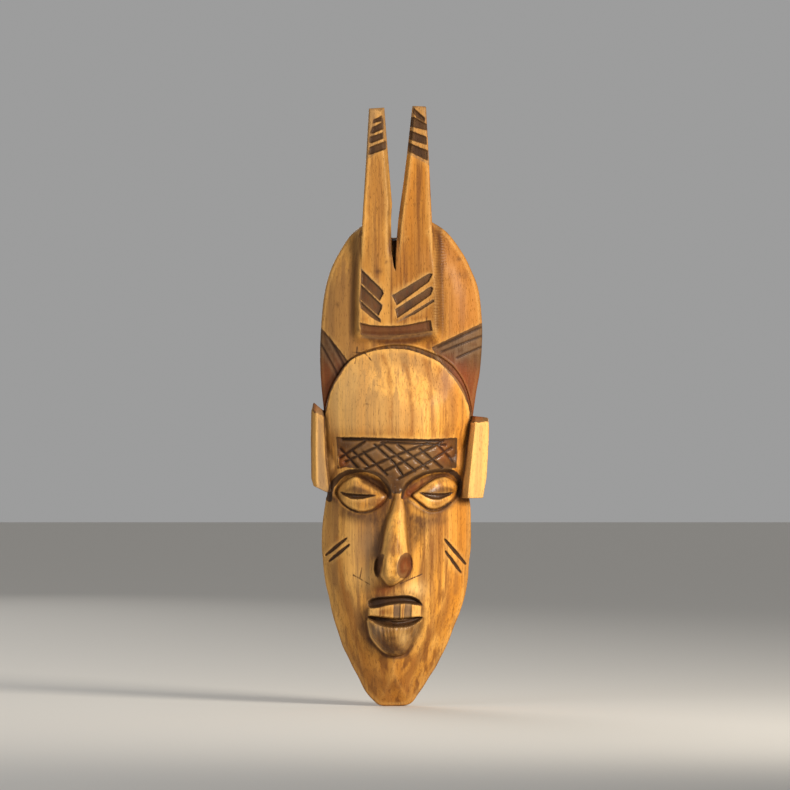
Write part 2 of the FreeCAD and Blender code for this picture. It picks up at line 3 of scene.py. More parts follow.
import bpy
import numpy as np
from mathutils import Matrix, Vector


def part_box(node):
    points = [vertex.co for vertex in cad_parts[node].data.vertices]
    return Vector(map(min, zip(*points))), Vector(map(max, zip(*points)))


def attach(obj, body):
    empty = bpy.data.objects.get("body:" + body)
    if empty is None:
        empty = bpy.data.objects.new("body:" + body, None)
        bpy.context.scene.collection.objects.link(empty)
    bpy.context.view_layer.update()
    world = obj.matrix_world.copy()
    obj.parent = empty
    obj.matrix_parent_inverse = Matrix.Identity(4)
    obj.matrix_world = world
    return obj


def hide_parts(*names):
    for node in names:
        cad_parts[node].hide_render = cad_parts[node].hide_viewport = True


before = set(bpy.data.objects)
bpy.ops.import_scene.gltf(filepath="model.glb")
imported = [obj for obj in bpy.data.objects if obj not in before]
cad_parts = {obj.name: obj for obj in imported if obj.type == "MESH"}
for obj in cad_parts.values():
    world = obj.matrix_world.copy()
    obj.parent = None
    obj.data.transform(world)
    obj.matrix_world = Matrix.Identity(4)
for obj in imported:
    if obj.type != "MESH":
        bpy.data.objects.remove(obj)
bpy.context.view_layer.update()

import openvdb as vdb
from mathutils import Vector

# A carved wall mask: one block of waxed hardwood, sculpted as a relief, with a steel hanger behind.
# Carving sizes are millimetres: x across, z up from the chin's end, depth forward from the wall.

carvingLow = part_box("mask_carving")[0]
chinLevel = carvingLow[2] * 1000


def report(stage):
    print("mask:", stage)


# camera

cameraSetup = {
    "aim": (-0.0013, -0.022, 0.2080),      # above the chin's end, in metres
    "distance": 5.0,
    "elevation": 0.2,
    "squareSeen": 0.5265,                   # the width the view covers at the aim point
}


def makeCamera(setup):
    data = bpy.data.cameras.new("maskCamera")
    camera = bpy.data.objects.new("maskCamera", data)
    bpy.context.collection.objects.link(camera)
    aim = Vector(setup["aim"]) + Vector((0, 0, chinLevel / 1000))
    tilt = math.radians(setup["elevation"])
    camera.location = aim + setup["distance"] * Vector((0, -math.cos(tilt), math.sin(tilt)))
    camera.rotation_euler = (math.radians(90) - tilt, 0, 0)
    data.sensor_width = 36
    data.lens = 36 * setup["distance"] / setup["squareSeen"]
    data.clip_start = 0.01
    bpy.context.scene.camera = camera


makeCamera(cameraSetup)
report("camera placed")

# the carver's tools: outlines, distances and smooth joins on a flat drawing grid

drawing = {
    "step": 0.5,
    "x": (-66.0, 66.0),
    "z": (-3.0, 403.0),
    "depth": (-2.0, 50.0),
}
xs = np.arange(*drawing["x"], drawing["step"], dtype=np.float32)
zs = np.arange(*drawing["z"], drawing["step"], dtype=np.float32)
gx, gz = np.meshgrid(xs, zs, indexing="ij")


def blank(value=0.0):
    return np.full(gx.shape, value, dtype=np.float32)


def between(value, low, high):
    # 0 below low, 1 above high, with a smooth rise
    t = np.clip((value - low) / (high - low), 0, 1)
    return t * t * (3 - 2 * t)


def bell(distance, width):
    # 1 on a line, fading out on both sides of it
    return np.exp(-(distance / width) ** 2)


def hump(x, z, sizeX, sizeZ):
    return np.exp(-((gx - x) / sizeX) ** 2 - ((gz - z) / sizeZ) ** 2)


def softMax(a, b, k):
    t = np.clip(0.5 + 0.5 * (a - b) / k, 0, 1)
    return b + (a - b) * t + k * t * (1 - t) * 0.5


def along(heights, values, z=gz):
    return np.interp(z, heights, values).astype(np.float32)


def smoothAlong(heights, values, z=gz):
    # a smooth curve through a few values, read at every height
    fine = np.linspace(heights[0], heights[-1], 240)
    steps = np.interp(fine, heights, values)
    kernel = np.hanning(31)
    padded = np.pad(steps, 15, mode="edge")
    return np.interp(z, fine, np.convolve(padded, kernel / kernel.sum(), mode="valid")).astype(np.float32)


def curved(points, closed=True, cuts=6):
    # a smooth line through the points
    p = np.array(points, dtype=np.float64)
    n = len(p)
    order = range(n) if closed else range(n - 1)
    out = []
    for i in order:
        if closed:
            a, b, c, d = p[i - 1], p[i], p[(i + 1) % n], p[(i + 2) % n]
        else:
            a, b, c, d = p[max(i - 1, 0)], p[i], p[i + 1], p[min(i + 2, n - 1)]
        for s in range(cuts):
            t = s / cuts
            out.append(0.5 * (2 * b + (c - a) * t + (2 * a - 5 * b + 4 * c - d) * t * t
                              + (3 * b - a - 3 * c + d) * t ** 3))
    if not closed:
        out.append(p[-1])
    return np.array(out)


farAway = 60.0
sides = ("left", "right")


def window(points, reach):
    low, high = np.min(points, axis=0) - reach, np.max(points, axis=0) + reach
    i0, i1 = np.searchsorted(xs, (low[0], high[0]))
    k0, k1 = np.searchsorted(zs, (low[1], high[1]))
    return slice(i0, i1), slice(k0, k1)


def lineDistance(points, closed=False, reach=14.0):
    # how far each spot of the drawing is from a line through the points
    pts = np.asarray(points, dtype=np.float32)
    cut = window(pts, reach)
    px, pz = gx[cut], gz[cut]
    best = np.full(px.shape, farAway, dtype=np.float32)
    ends = np.roll(pts, -1, axis=0) if closed else pts[1:]
    for (ax, az), (bx, bz) in zip(pts, ends):
        vx, vz = bx - ax, bz - az
        t = np.clip(((px - ax) * vx + (pz - az) * vz) / max(vx * vx + vz * vz, 1e-9), 0, 1)
        best = np.minimum(best, np.hypot(px - ax - t * vx, pz - az - t * vz))
    out = blank(farAway)
    out[cut] = best
    return out


def shapeDistance(points, reach=14.0):
    # the same for a closed shape, negative inside it
    pts = np.asarray(points, dtype=np.float32)
    out = lineDistance(pts, closed=True, reach=reach)
    cut = window(pts, reach)
    px, pz = gx[cut], gz[cut]
    inside = np.zeros(px.shape, dtype=bool)
    for (ax, az), (bx, bz) in zip(pts, np.roll(pts, -1, axis=0)):
        if az != bz:
            crosses = ((az > pz) != (bz > pz)) & (px < (bx - ax) * (pz - az) / (bz - az) + ax)
            inside ^= crosses
    out[cut] = np.where(inside, -out[cut], out[cut])
    return out


def wobble(seed, sizeX, sizeZ):
    # smooth random unevenness, about -1 to 1, with humps of the given size
    rng = np.random.default_rng(seed)
    nx, nz = int(140 / sizeX) + 5, int(420 / sizeZ) + 5
    grid = rng.uniform(-1, 1, (nx, nz))
    u = (gx - xs[0]) / sizeX + 1
    v = (gz - zs[0]) / sizeZ + 1
    iu, iv = np.floor(u).astype(int), np.floor(v).astype(int)
    fu, fv = between(u - iu, 0, 1), between(v - iv, 0, 1)
    low = grid[iu, iv] * (1 - fu) + grid[iu + 1, iv] * fu
    high = grid[iu, iv + 1] * (1 - fu) + grid[iu + 1, iv + 1] * fu
    return (low * (1 - fv) + high * fv).astype(np.float32)


def pillow(inside, width, power):
    # 0 at an outline, rising to 1 over the width, steepest at the outline
    t = np.clip(inside / width, 0, 1)
    return 1 - (1 - t) ** power


# What the carver and the stainer leave behind, each a drawing of its own: the crisp edge of each
# stained cut, how black it is, soft smears, polish, a reddish tone, a grey one and a pale one. Painted light
# and
# shade lie among them: the cut and smear drawings also hold painted shade, and the grey and pale ones hold
# painted shade, painted light, a painted highlight and a painted reflection.
stainAndShade = {"cut": blank(farAway)}
for layer in ("deep", "smearAndShade", "polish", "red", "ash", "pale", "lattice", "vein", "headdressDarker"):
    stainAndShade[layer] = blank()


def stainAndShadeShape(distance, grow=0.0, deep=0.0):
    stainAndShade["cut"] = np.minimum(stainAndShade["cut"], distance - grow)
    stainAndShade["deep"] = np.maximum(stainAndShade["deep"], deep * between(grow - distance, -0.3, 0.3))


def washShape(shape, layer, strength):
    # one tone over a whole drawing, never lighter than what is there
    stainAndShade[layer] = np.clip(np.maximum(stainAndShade[layer], shape * strength), 0, 1).astype(np.float32)


def addTone(layer, amount):
    stainAndShade[layer] = np.clip(stainAndShade[layer] + amount, 0, 1).astype(np.float32)


def toneSpot(x, z, sizeX, sizeZ, strength, turn=0.0, layer="smearAndShade"):
    c, s = math.cos(math.radians(turn)), math.sin(math.radians(turn))
    u = ((gx - x) * c + (gz - z) * s) / sizeX
    v = ((gz - z) * c - (gx - x) * s) / sizeZ
    spot = strength * np.exp(-(u * u + v * v))
    addTone(layer, spot)


def toneShape(points, soft, strength, layer="smearAndShade"):
    # the same tone all over a shape, fading out over its edge
    washShape(between(-shapeDistance(curved(points, cuts=3)), -soft, soft), layer, strength)


def toneLine(points, width, strength, layer="smearAndShade"):
    spread = lineDistance(points, reach=width * 3)
    addTone(layer, strength * bell(spread, width))


def toneCurve(points, width, strength):
    toneLine(curved(points, closed=False), width, strength)


# headdress board

board = {
    "outline": [(-45, 150), (-47.5, 185), (-50.5, 214), (-51.4, 235), (-50.5, 256), (-48.4, 275.5),
        (-44.4, 291), (-38, 304), (-29, 316.6), (-15, 325), (0, 327), (16, 326), (31.8, 318), (43.6, 303),
        (49.7, 291), (54.3, 278.6), (56.4, 262), (56.9, 245), (55.4, 224), (52.8, 209), (49.5, 185),
        (45, 150)],
    "edge": 9.5, "centre": 19.5, "rise": 34, "fullness": 2.3,
}
boardLine = shapeDistance(curved(board["outline"]), reach=20)
boardFull = pillow(-boardLine, board["rise"], board["fullness"])
boardHeight = board["edge"] + (board["centre"] - board["edge"]) * boardFull
boardHeight += 0.35 * wobble(3, 17, 38) + 0.12 * wobble(4, 5, 16)

# crest and horns

crest = {
    "outline": [(-24.8, 230), (-24.6, 260), (-24.2, 292), (-23.4, 322), (-20, 334), (20, 334), (23.2, 324),
        (24, 291), (25, 270), (25.2, 230)],
    "proud": 5.4, "sideSlope": 6.0, "foot": (241.5, 252.5),
}
horns = {
    "left": [(-24.2, 290), (-23.3, 321), (-21.2, 355), (-18.7, 399), (-8.4, 399.8), (-6.2, 371),
        (-3.3, 335.5), (-3.9, 325), (-3.7, 304), (-2.2, 293), (-1.6, 290)],
    "right": [(-0.9, 290), (-0.9, 304), (0.9, 325), (4.5, 351), (6.7, 369), (10.2, 400.8), (19.4, 400.4),
        (21.5, 361), (23.3, 324), (24.2, 290)],
    "rootDepth": 25.2, "tipDepth": 20.5, "backRoot": 4.0, "backTip": 8.0,
    "gapSide": {"left": (-15.0, -11.0), "right": (-14.0, -9.0)},
}
crestLine = shapeDistance(crest["outline"], reach=20)
crestSide = np.clip(crestLine, 0, None) / crest["sideSlope"]
crestRise = crest["proud"] * (1 - between(crestSide, 0, 1)) * between(gz, *crest["foot"]) * (gz < 336)
boardHeight = boardHeight + crestRise

hornLines = {side: shapeDistance(horns[side]) for side in sides}
hornHeight = along([290, 335, 400], [horns["rootDepth"], 24.0, horns["tipDepth"]]) + 0.25 * wobble(8, 9, 30)
hornBack = along([290, 340, 400], [0, horns["backRoot"], horns["backTip"]])
for side, sign in (("left", 1), ("right", -1)):
    # each horn's front is planed off towards the gap and a little towards the outside
    inner = np.clip(-hornLines[side], 0, None)
    towardsGap = between(sign * gx, *horns["gapSide"][side])
    planed = hornHeight - (0.9 + 2.6 * towardsGap) * (1 - between(inner, 0.0, 1.4 + 1.6 * towardsGap))
    joined = between(gz, 288, 318)
    if side == "left":
        washShape(towardsGap * between(3.4 - inner, 0, 0.8) * (hornLines[side] < 0.3) * joined, "smearAndShade", 0.5)
    hornLines[side + "Front"] = boardHeight * (1 - joined) + planed * joined
report("board, crest and horns drawn")

# face

face = {
    "outline": [(-11, 0.5), (-15.6, 3.6), (-21.6, 10.9), (-26.7, 20.7), (-33.4, 34), (-40, 51), (-45.4, 71),
        (-48.8, 87.5), (-50, 107.5), (-49.4, 124), (-47.3, 138), (-46.4, 146), (-47.6, 165), (-48.4, 182),
        (-47.8, 197), (-45.2, 208.5), (-40.5, 218.8), (-32.4, 229.9), (-22.4, 235.4), (-11.4, 238.4),
        (-1.3, 239), (8.7, 238), (18.7, 234.5), (28.9, 229.4), (37.4, 221.8), (42.8, 214.6), (46.4, 206),
        (49, 192), (47, 174), (45.2, 158), (46.4, 146), (48.8, 138), (49.4, 124), (49.3, 107.5), (48, 91),
        (45.4, 74), (40, 57.4), (34.7, 44), (26.7, 27.4), (15.4, 9.4), (8.7, 1.6), (0, 0.1)],
    "edgeHeights": [0, 60, 135, 168, 196, 222, 240], "edge": [8, 6.5, 7.5, 10, 14, 20, 25],
    "centreHeights": [0, 20, 50, 90, 130, 165, 200, 239], "centre": [19, 22.5, 27, 28.5, 28, 31.5, 32.5,
        29.5],
    "rise": 43, "fullness": 2.1,
}
faceLine = shapeDistance(curved(face["outline"]), reach=20) + 0.4 * wobble(15, 8, 11) * (gz < 140)
faceEdge = smoothAlong(face["edgeHeights"], face["edge"])
faceCentre = smoothAlong(face["centreHeights"], face["centre"])
faceHeight = faceEdge + (faceCentre - faceEdge) * pillow(-faceLine, face["rise"], face["fullness"])
faceHeight += 0.30 * wobble(11, 15, 34) + 0.10 * wobble(12, 5, 14)
cheeks = {"hollows": [(-21, 84), (19, 84)], "size": (8, 26), "deep": 1.6}
for x, z in cheeks["hollows"]:
    faceHeight -= cheeks["deep"] * hump(x, z, *cheeks["size"])

# nose

nose = {
    "heights": [79, 81.6, 83, 85, 88, 92.7, 102, 108, 114, 124, 132, 141, 150],
    "middle": [-4.3, -4.3, -3.2, -2.7, -2.3, -2.0, -1.75, -1.5, -1.2, -0.6, 0.8, 1.1, 0.6],
    "half": [2.5, 3.2, 6.2, 9.0, 11.4, 13.3, 12.0, 10.9, 10.2, 8.6, 6.9, 5.0, 5.2],
    "ridge": [24, 33, 37.5, 41.0, 43.6, 44.8, 42.6, 41.0, 39.4, 36.4, 33.8, 31.0, 29],
    "foot": 19.0, "squareness": 3.2,
    "nostrils": [{"at": (-11.3, 94.4), "size": (4.3, 8.6), "turn": -9, "deep": 4.8,
                  "black": 0.35, "red": 0.2, "stainedTo": 0.25},
                 {"at": (5.3, 94.6), "size": (5.4, 9.2), "turn": -8, "deep": 4.0,
                  "black": 0.1, "red": 0.7, "stainedTo": 3.0}],
}
noseMiddle = smoothAlong(nose["heights"], nose["middle"])
noseHalf = smoothAlong(nose["heights"], nose["half"])
noseRidge = along(nose["heights"], nose["ridge"])
noseSide = np.abs((gx - noseMiddle) / noseHalf)
noseHeight = noseRidge - (noseRidge - nose["foot"]) * np.clip(noseSide, 0, 1) ** nose["squareness"]
noseHeight -= 18 * np.clip(noseSide - 1, 0, 1)
planeEdge = np.clip(1 - np.abs(gx - noseMiddle - 2.6) / 1.1, 0, 1)
noseHeight -= 0.45 * planeEdge * between(gz, 98, 106) * between(140 - gz, 0, 20)
noseHeight += 0.25 * wobble(13, 4, 12)
faceHeight = np.where((gz > 79) & (gz < 150), softMax(faceHeight, noseHeight, 1.2), faceHeight)
for cut in nose["nostrils"]:
    c, s = math.cos(math.radians(cut["turn"])), math.sin(math.radians(cut["turn"]))
    du, dv = gx - cut["at"][0], gz - cut["at"][1]
    u, v = (du * c + dv * s) / cut["size"][0], (dv * c - du * s) / cut["size"][1]
    r = np.sqrt(u * u + np.abs(v) ** 2.2)
    faceHeight -= cut["deep"] * (1 - between(r, 0.25, 1.0))
    stained = np.maximum((r - 0.94) * min(cut["size"]), (u - cut["stainedTo"] - 0.2 * v) * cut["size"][0])
    stainAndShadeShape(stained, deep=cut["black"])
    toneSpot(*cut["at"], cut["size"][0], cut["size"][1], cut["red"], layer="red")
toneSpot(-8.6, 92, 1.5, 5, 0.55)

# eyes

eyes = {
    "left": {
        "socket": [(-44.1, 143), (-41.6, 151), (-34.5, 157.2), (-26.7, 159.2), (-18, 157.6), (-9.3, 152.6),
            (-3.9, 144.6), (-5.3, 137), (-10.7, 130.8), (-19.4, 127.6), (-28, 129), (-36, 133),
            (-41.4, 137.6)],
        "lids": [(-40.2, 143.2), (-36.2, 149.4), (-29.4, 153.6), (-24.4, 153), (-18, 149.4), (-11.4, 145.2),
            (-6.6, 141.4), (-9.6, 136), (-16.7, 131.2), (-24.4, 129.8), (-32, 132.6), (-37.6, 137.6)],
        "slit": [(-38.2, 143.4), (-33.4, 142.6), (-24.5, 142.0), (-14.2, 141.4), (-20.2, 139.4),
            (-26.5, 138.5), (-32.6, 139.6)],
        "smearAndShade": [(-34.6, 143.2), (-31.6, 146.4), (-27.5, 147.4), (-22.6, 145.8), (-16.6, 142.2), (-26, 142)],
    },
    "right": {
        "socket": [(3.6, 141), (4.4, 149), (10.7, 154), (19.5, 157.6), (28.5, 159.2), (37.4, 158.6),
            (42.8, 154.2), (43.6, 147.5), (41.2, 140), (36.6, 134.6), (30.6, 130.8), (22.7, 128.8),
            (15.4, 131.4), (8.8, 136)],
        "lids": [(9.6, 141.4), (14.6, 145.4), (20.2, 149.2), (26.2, 153), (32, 153.8), (38.2, 151.4),
            (41, 147), (38.2, 139.4), (30.4, 133), (22.2, 131.6), (15.6, 135.8)],
        "slit": [(15.2, 143.2), (22.5, 142.7), (30.5, 142.6), (37.6, 143), (31.6, 139.4), (26.2, 138.2),
            (20.4, 139.6)],
        "smearAndShade": [(17, 143.2), (24, 145.4), (31, 147), (36.4, 146), (38, 143.4), (27, 142.4)],
    },
    "socketDeep": 5.6, "socketSlope": 4.6, "lidProud": 5.8, "lidWidth": 9.5, "slitDeep": 2.2,
}


def carveEye(height, eye, depths):
    socket = shapeDistance(curved(eye["socket"]))
    lids = shapeDistance(curved(eye["lids"]))
    slit = shapeDistance(curved(eye["slit"], cuts=3))
    # the upper half of the socket is deep, and below the slit it runs out into a scored line
    lower = between(143 - gz, 0, 7)
    height = height - depths["socketDeep"] * (1 - 0.75 * lower) * between(-socket, 0, depths["socketSlope"])
    t = np.clip(-lids / depths["lidWidth"], 0, 1)
    height = height + depths["lidProud"] * (1 - 0.45 * lower) * np.sqrt(1 - (1 - t) ** 2)
    height = height - (0.9 + 0.7 * lower) * bell(np.clip(np.abs(lids), 0, 9), 0.9)
    stainAndShadeShape(np.abs(lids - 0.3) + 0.3 * wobble(16, 3, 3) + 12 * (1 - lower), 0.6, deep=0.25)
    height = height - depths["slitDeep"] * between(-slit, -0.2, 1.3)
    return height, socket, lids, slit


eyeLines = {}
for side in sides:
    faceHeight, socket, lids, slit = carveEye(faceHeight, eyes[side], eyes)
    eyeLines[side] = (socket, lids, slit)
    stainAndShadeShape(slit, 0.25, deep=0.55)
    washShape(between(-lids, 0.5, 2), "polish", 0.85)
    toneShape(eyes[side]["smearAndShade"], 1.1, 0.85)
# dark brow arcs, thick towards the nose and thin over the outer corner
browArcs = [[(-45.2, 138.4), (-44, 145), (-40, 151.6), (-33.6, 156.2), (-26, 157.6), (-17, 156.8),
    (-9.4, 152.4), (-5.4, 146), (-4.6, 140)],
            [(3.4, 139.6), (5.2, 146), (11, 151.6), (18, 155.6), (26, 157.4), (33.6, 157.6), (39.4, 154.6),
                (42.2, 149), (41, 141)]]
browWidths = [([-46, -38, -20, -4], [2.0, 1.9, 1.1, 1.3]), ([3, 14, 32, 43], [1.0, 0.9, 1.6, 1.6])]
for points, (places, widths) in zip(browArcs, browWidths):
    browLine = lineDistance(curved(points, closed=False))
    faceHeight -= 0.7 * bell(browLine, 1.3)
    stainAndShadeShape(browLine - along(places, widths, gx) - 0.35 * wobble(14, 3, 3), deep=0.8)
# the stain left in the sockets, down both sides of the nose and under the lids
toneShape([(-24, 154.6), (-15, 152.4), (-8.6, 150.4), (-4.4, 146), (-3.4, 141.4), (-5.6, 139.4),
    (-11, 142.4), (-18, 146.6), (-24.4, 150.4)], 1.0, 1.0)
toneShape([(3.8, 138.6), (4.6, 143.4), (12, 148.8), (19.6, 153.2), (27.4, 155.2), (33, 153.8),
    (25.6, 151.6), (19.6, 147.8), (14.2, 143.6), (9, 139.6)], 1.0, 0.95)
toneShape([(3.8, 139), (6, 144), (14, 149.6), (21, 153), (16, 148), (9, 141)], 1.6, 0.75, layer="red")
toneShape([(-3.6, 140), (-6.4, 136), (-12, 131.4), (-15.4, 127.4), (-12.4, 121), (-9.6, 128), (-6.6, 134)],
    1.6, 1.0)
toneCurve([(-5, 139.5), (-7.6, 134.6), (-9.6, 128), (-11.6, 120.5), (-13.2, 111), (-13.8, 102)], 3.6, 1.0)
toneCurve([(-17, 124), (-19, 115), (-18.5, 104)], 4.5, 0.28)
toneCurve([(6.4, 136), (8.2, 127), (9.6, 118), (10.6, 108)], 2.2, 0.78)
toneShape([(8, 128), (14, 126), (20.5, 121.5), (19.6, 116), (15, 110.5), (11, 104), (9.5, 108),
    (8.6, 118)], 3.4, 0.8)
toneCurve([(-41, 138.6), (-37.6, 133.6), (-31, 129.8), (-24.4, 128), (-17, 129), (-10.6, 133)], 1.8, 0.6)
toneLine([(-36, 128.6), (-27, 125.6), (-18, 125)], 3.4, 0.72)
toneCurve([(8, 138), (14, 132.4), (21.6, 129.8), (30.4, 131.4), (37.6, 136.4), (41.6, 142)], 1.8, 0.7)
toneLine([(12, 127), (21, 124), (30, 125)], 3.4, 0.72)
toneSpot(-11.5, 126, 3.4, 7.0, 0.9, turn=-8)
toneShape([(-5, 139), (-9, 134.5), (-13, 129.5), (-17.6, 126), (-18, 123.5), (-15, 121.5), (-14.6, 115),
    (-14.2, 106), (-12.4, 110), (-11, 120), (-9, 128), (-6.5, 134)], 1.2, 1.0)
toneShape([(-5, 139), (-9, 134.5), (-12.4, 128.4), (-13.4, 121), (-11, 124), (-8, 131)], 0.9, 0.5,
    layer="lattice")
toneSpot(-12, 136.5, 3.4, 5.0, 0.75, turn=-40)
toneSpot(-12, 136.5, 3.4, 5.0, 0.8, turn=-40, layer="red")
toneSpot(33, 134.5, 4.6, 1.8, 0.55, turn=35)
toneSpot(31, 150.5, 6, 1.5, 0.5, layer="red")
toneSpot(31, 151, 6, 1.3, 0.5)
toneCurve([(10, 147), (18, 151.6), (27, 154.6), (36, 154.4), (40.6, 150)], 1.5, 0.6)
report("face, nose and eyes drawn")

# latticed band across the brow

band = {
    "outline": [(-40.7, 180.2), (-20, 179.8), (0, 179.2), (20, 178.6), (40.1, 179.4), (39.6, 159.6),
        (34, 158.8), (27, 158), (19, 156.4), (11, 152.6), (4.4, 146), (2.2, 142.8), (-2.4, 142.6),
        (-4.6, 147), (-9.5, 152.6), (-18, 157), (-25, 158.8), (-34, 159.8), (-39.8, 158.6)],
    "deep": 1.3, "groove": 1.0, "grooveWidth": 0.8, "bulge": 0.95,
    "rising": [[(-38, 166), (-21.5, 177.2)], [(-34.5, 163.5), (-6.2, 177)],
        [(-22, 158.4), (-4, 166.4), (22.2, 177)],
               [(-9, 157), (8, 165.4), (30.5, 177.4)], [(1.2, 152.4), (18, 161.6), (36, 172.8)]],
    "falling": [[(-37.4, 172), (-26.2, 159.6)], [(-30, 171.2), (-18.6, 159.8)], [(-22.6, 170), (-6.9, 155)],
                [(-15, 174.8), (-2, 163), (4, 154)], [(-10.6, 176.2), (11.9, 157.6)],
                    [(0.4, 175), (20.4, 159)],
                [(14.8, 172.4), (29.8, 159.6)], [(27, 175), (37.4, 163.6)]],
    "level": [[(-36, 178.6), (28, 177.2)], [(-10, 176.6), (32, 174.8)]],
}
bandLine = shapeDistance(band["outline"])
insideBand = between(-bandLine, 0.0, 0.9)
faceHeight -= band["deep"] * insideBand
latticeCut = blank(farAway)
for family in ("rising", "falling", "level"):
    for points in band[family]:
        latticeCut = np.minimum(latticeCut, lineDistance(points) + 0.12 * wobble(22, 5, 5))
facets = 1 - (1 - np.clip(latticeCut / 3.4, 0, 1)) ** 2
knifeLines = bell(np.clip(latticeCut, 0, 9), band["grooveWidth"])
faceHeight += insideBand * (band["bulge"] * facets - band["groove"] * knifeLines)
stainAndShadeShape(bandLine + 0.9 * between(-gx, 30, 40) * (1 + wobble(31, 4, 7)), 0.2)
stainAndShadeShape(np.abs(bandLine + 0.5) + 0.15 * wobble(32, 4, 4), 0.45, deep=0.7)
washShape(insideBand * (1 - 0.6 * knifeLines), "polish", 1.0)
washShape(insideBand * bell(np.clip(latticeCut, 0, 9), 0.7), "lattice", 0.9)
toneSpot(31, 170, 5, 7, 0.7, layer="red")
toneSpot(-36, 164, 4, 7, 0.8, layer="red")
toneSpot(-14, 171, 12, 5, 0.45, layer="ash")
toneSpot(12, 168, 14, 8, 0.5, layer="ash")

# mouth

mouth = {
    "upperCut": [(-19, 70.4), (-14, 73.2), (-5, 73.9), (4, 74.6), (10, 73.9), (14.6, 71.6), (17, 67.8),
        (14.8, 68.2), (5, 69.4), (-5.1, 68.6), (-12.4, 66.6), (-17.8, 66.4)],
    "teeth": [(-19.4, 60.6), (-19.4, 66), (-17, 67), (-12, 67), (-5, 69.2), (5, 70), (14.8, 69.1),
        (16.6, 67), (16.4, 60), (8, 59.4), (0.3, 58.6), (-7.4, 59.6)],
    "lowerCut": [(-19.2, 60.6), (-12, 60.0), (-7.4, 59.4), (0.3, 58.4), (8, 59.2), (16.4, 60.2),
        (15.4, 57.6), (11, 55.2), (4.9, 53.6), (-7.4, 53.7), (-15.8, 57)],
    "lip": [(-19.6, 59.5), (-19.5, 51.3), (-17.8, 45.9), (-14.3, 41.0), (-9.7, 36.5), (-5.9, 34.6),
        (0.3, 33.9), (5.6, 35.7), (9.7, 41.3), (13.4, 48.8), (16.2, 55.9), (16.4, 59.5), (8, 58.6),
        (-8, 58.6)],
    "teethProud": 3.2, "lipProud": 9.6, "lipWidth": 12.0, "cutDeep": 3.8,
    "gaps": [(0.0, 2.3, 1.0), (7.3, 2.4, 1.0)],                       # x, half width, deep
    "nicks": [(-11.4, 0.3, 0.5), (-9.6, 0.25, 0.4), (-8.6, 0.2, 0.3), (3.9, 0.3, 0.4)],
}
upperCut = shapeDistance(curved(mouth["upperCut"], cuts=3))
teeth = shapeDistance(mouth["teeth"])
lowerCut = shapeDistance(curved(mouth["lowerCut"], cuts=3))
lip = shapeDistance(curved(mouth["lip"], cuts=3))
# the whole mouth swells forward of the cheeks before it is cut
faceHeight += 2.2 * hump(-1.5, 64, 21, 17)
t = np.clip(-lip / mouth["lipWidth"], 0, 1)
faceHeight += mouth["lipProud"] * np.sqrt(1 - (1 - t) ** 2)
faceHeight -= 0.8 * bell(np.clip(lip, -3, 9), 1.0) * (gz < 60)
faceHeight += mouth["teethProud"] * between(-teeth, -0.3, 1.2)
faceHeight -= mouth["cutDeep"] * between(-upperCut, -0.2, 1.9)
faceHeight -= (mouth["cutDeep"] + 2.0) * between(-lowerCut, -0.2, 2.2)
toothRow = between(-teeth, 0.1, 0.8)
for x, half, deep in mouth["gaps"] + mouth["nicks"]:
    gap = np.abs(gx - x - 0.04 * (gz - 64)) - half
    faceHeight -= deep * toothRow * (1 - between(gap, -0.5, 0.3))
    if half > 1:
        rim = np.maximum(np.abs(gap + 0.45) - 0.4, teeth + 0.3)
        stainAndShadeShape(rim, deep=0.5)
        washShape(toothRow * (gap < 0), "smearAndShade", 0.8)
        washShape(toothRow * (gap < 0), "ash", 0.8)
    else:
        washShape(toothRow * (gap < 0.2), "red", 1.0)
        washShape(toothRow * (gap < 0.2), "smearAndShade", 0.7)
stainAndShadeShape(upperCut, 0.4, deep=0.75)
stainAndShadeShape(lowerCut, 0.3, deep=0.6)
washShape(between(-lip, -0.3, 0.8) * (gz < 57), "smearAndShade", 0.66)
washShape(between(-lip, 0.5, 3), "polish", 1.0)
# upright gouge strokes over the lower lip
lipStrokes = np.abs(np.sin((gx + 0.06 * (gz - 45)) * 1.15 + 1.4 * wobble(41, 7, 12)))
faceHeight -= 0.55 * between(-lip, 1.5, 5) * lipStrokes ** 3 * between(gz, 38, 50)
toneShape([(-18.4, 57.4), (-17.8, 50), (-13.6, 47), (-7, 48), (2, 50.4), (10, 52.6), (14.6, 56), (8, 54.4),
    (-6, 54.4)], 1.6, 0.7)
toneShape([(-17, 50), (-15, 44), (-10, 39), (-4, 37), (1, 38), (3, 43), (-2, 47), (-9, 48)], 2.4, 0.5)
toneSpot(-4.6, 41.6, 4.4, 4.0, 1.0)
toneSpot(-1, 37.4, 7, 2.4, 0.6)
# a painted highlight on the lower lip: a darker ring, the dark lifted inside it, pale laid there and a pale
# streak to its right
toneSpot(6, 47, 8, 8, 0.42)
toneSpot(4.4, 47, 4.6, 6.5, -0.6)
toneSpot(4.4, 47, 4.2, 6, 0.9, layer="pale")
toneSpot(13, 51, 2.2, 5, 0.7, layer="pale")
# a painted reflection greys the upper left of the lower lip
toneSpot(-13.4, 53, 4, 3.6, 0.7, layer="ash")
lipRim = bell(lip + 1.0, 0.6) * (gz < 58) * between(-gx, 4, 10)
washShape(lipRim, "pale", 0.8)
addTone("smearAndShade", -0.7 * lipRim)
washShape(between(-lip, 1.5, 3) * lipStrokes ** 4 * between(gz, 40, 46), "smearAndShade", 0.8)
toneCurve([(-19, 46), (-14, 39.6), (-7, 34), (0, 32.6), (6, 34.4), (10.6, 41)], 0.9, 0.7)
toneLine([(-22.4, 66), (-22.4, 56), (-20.5, 46), (-17, 40)], 2.4, 0.75)
toneLine([(18.6, 66), (18.4, 58), (15.6, 50)], 1.8, 0.35)
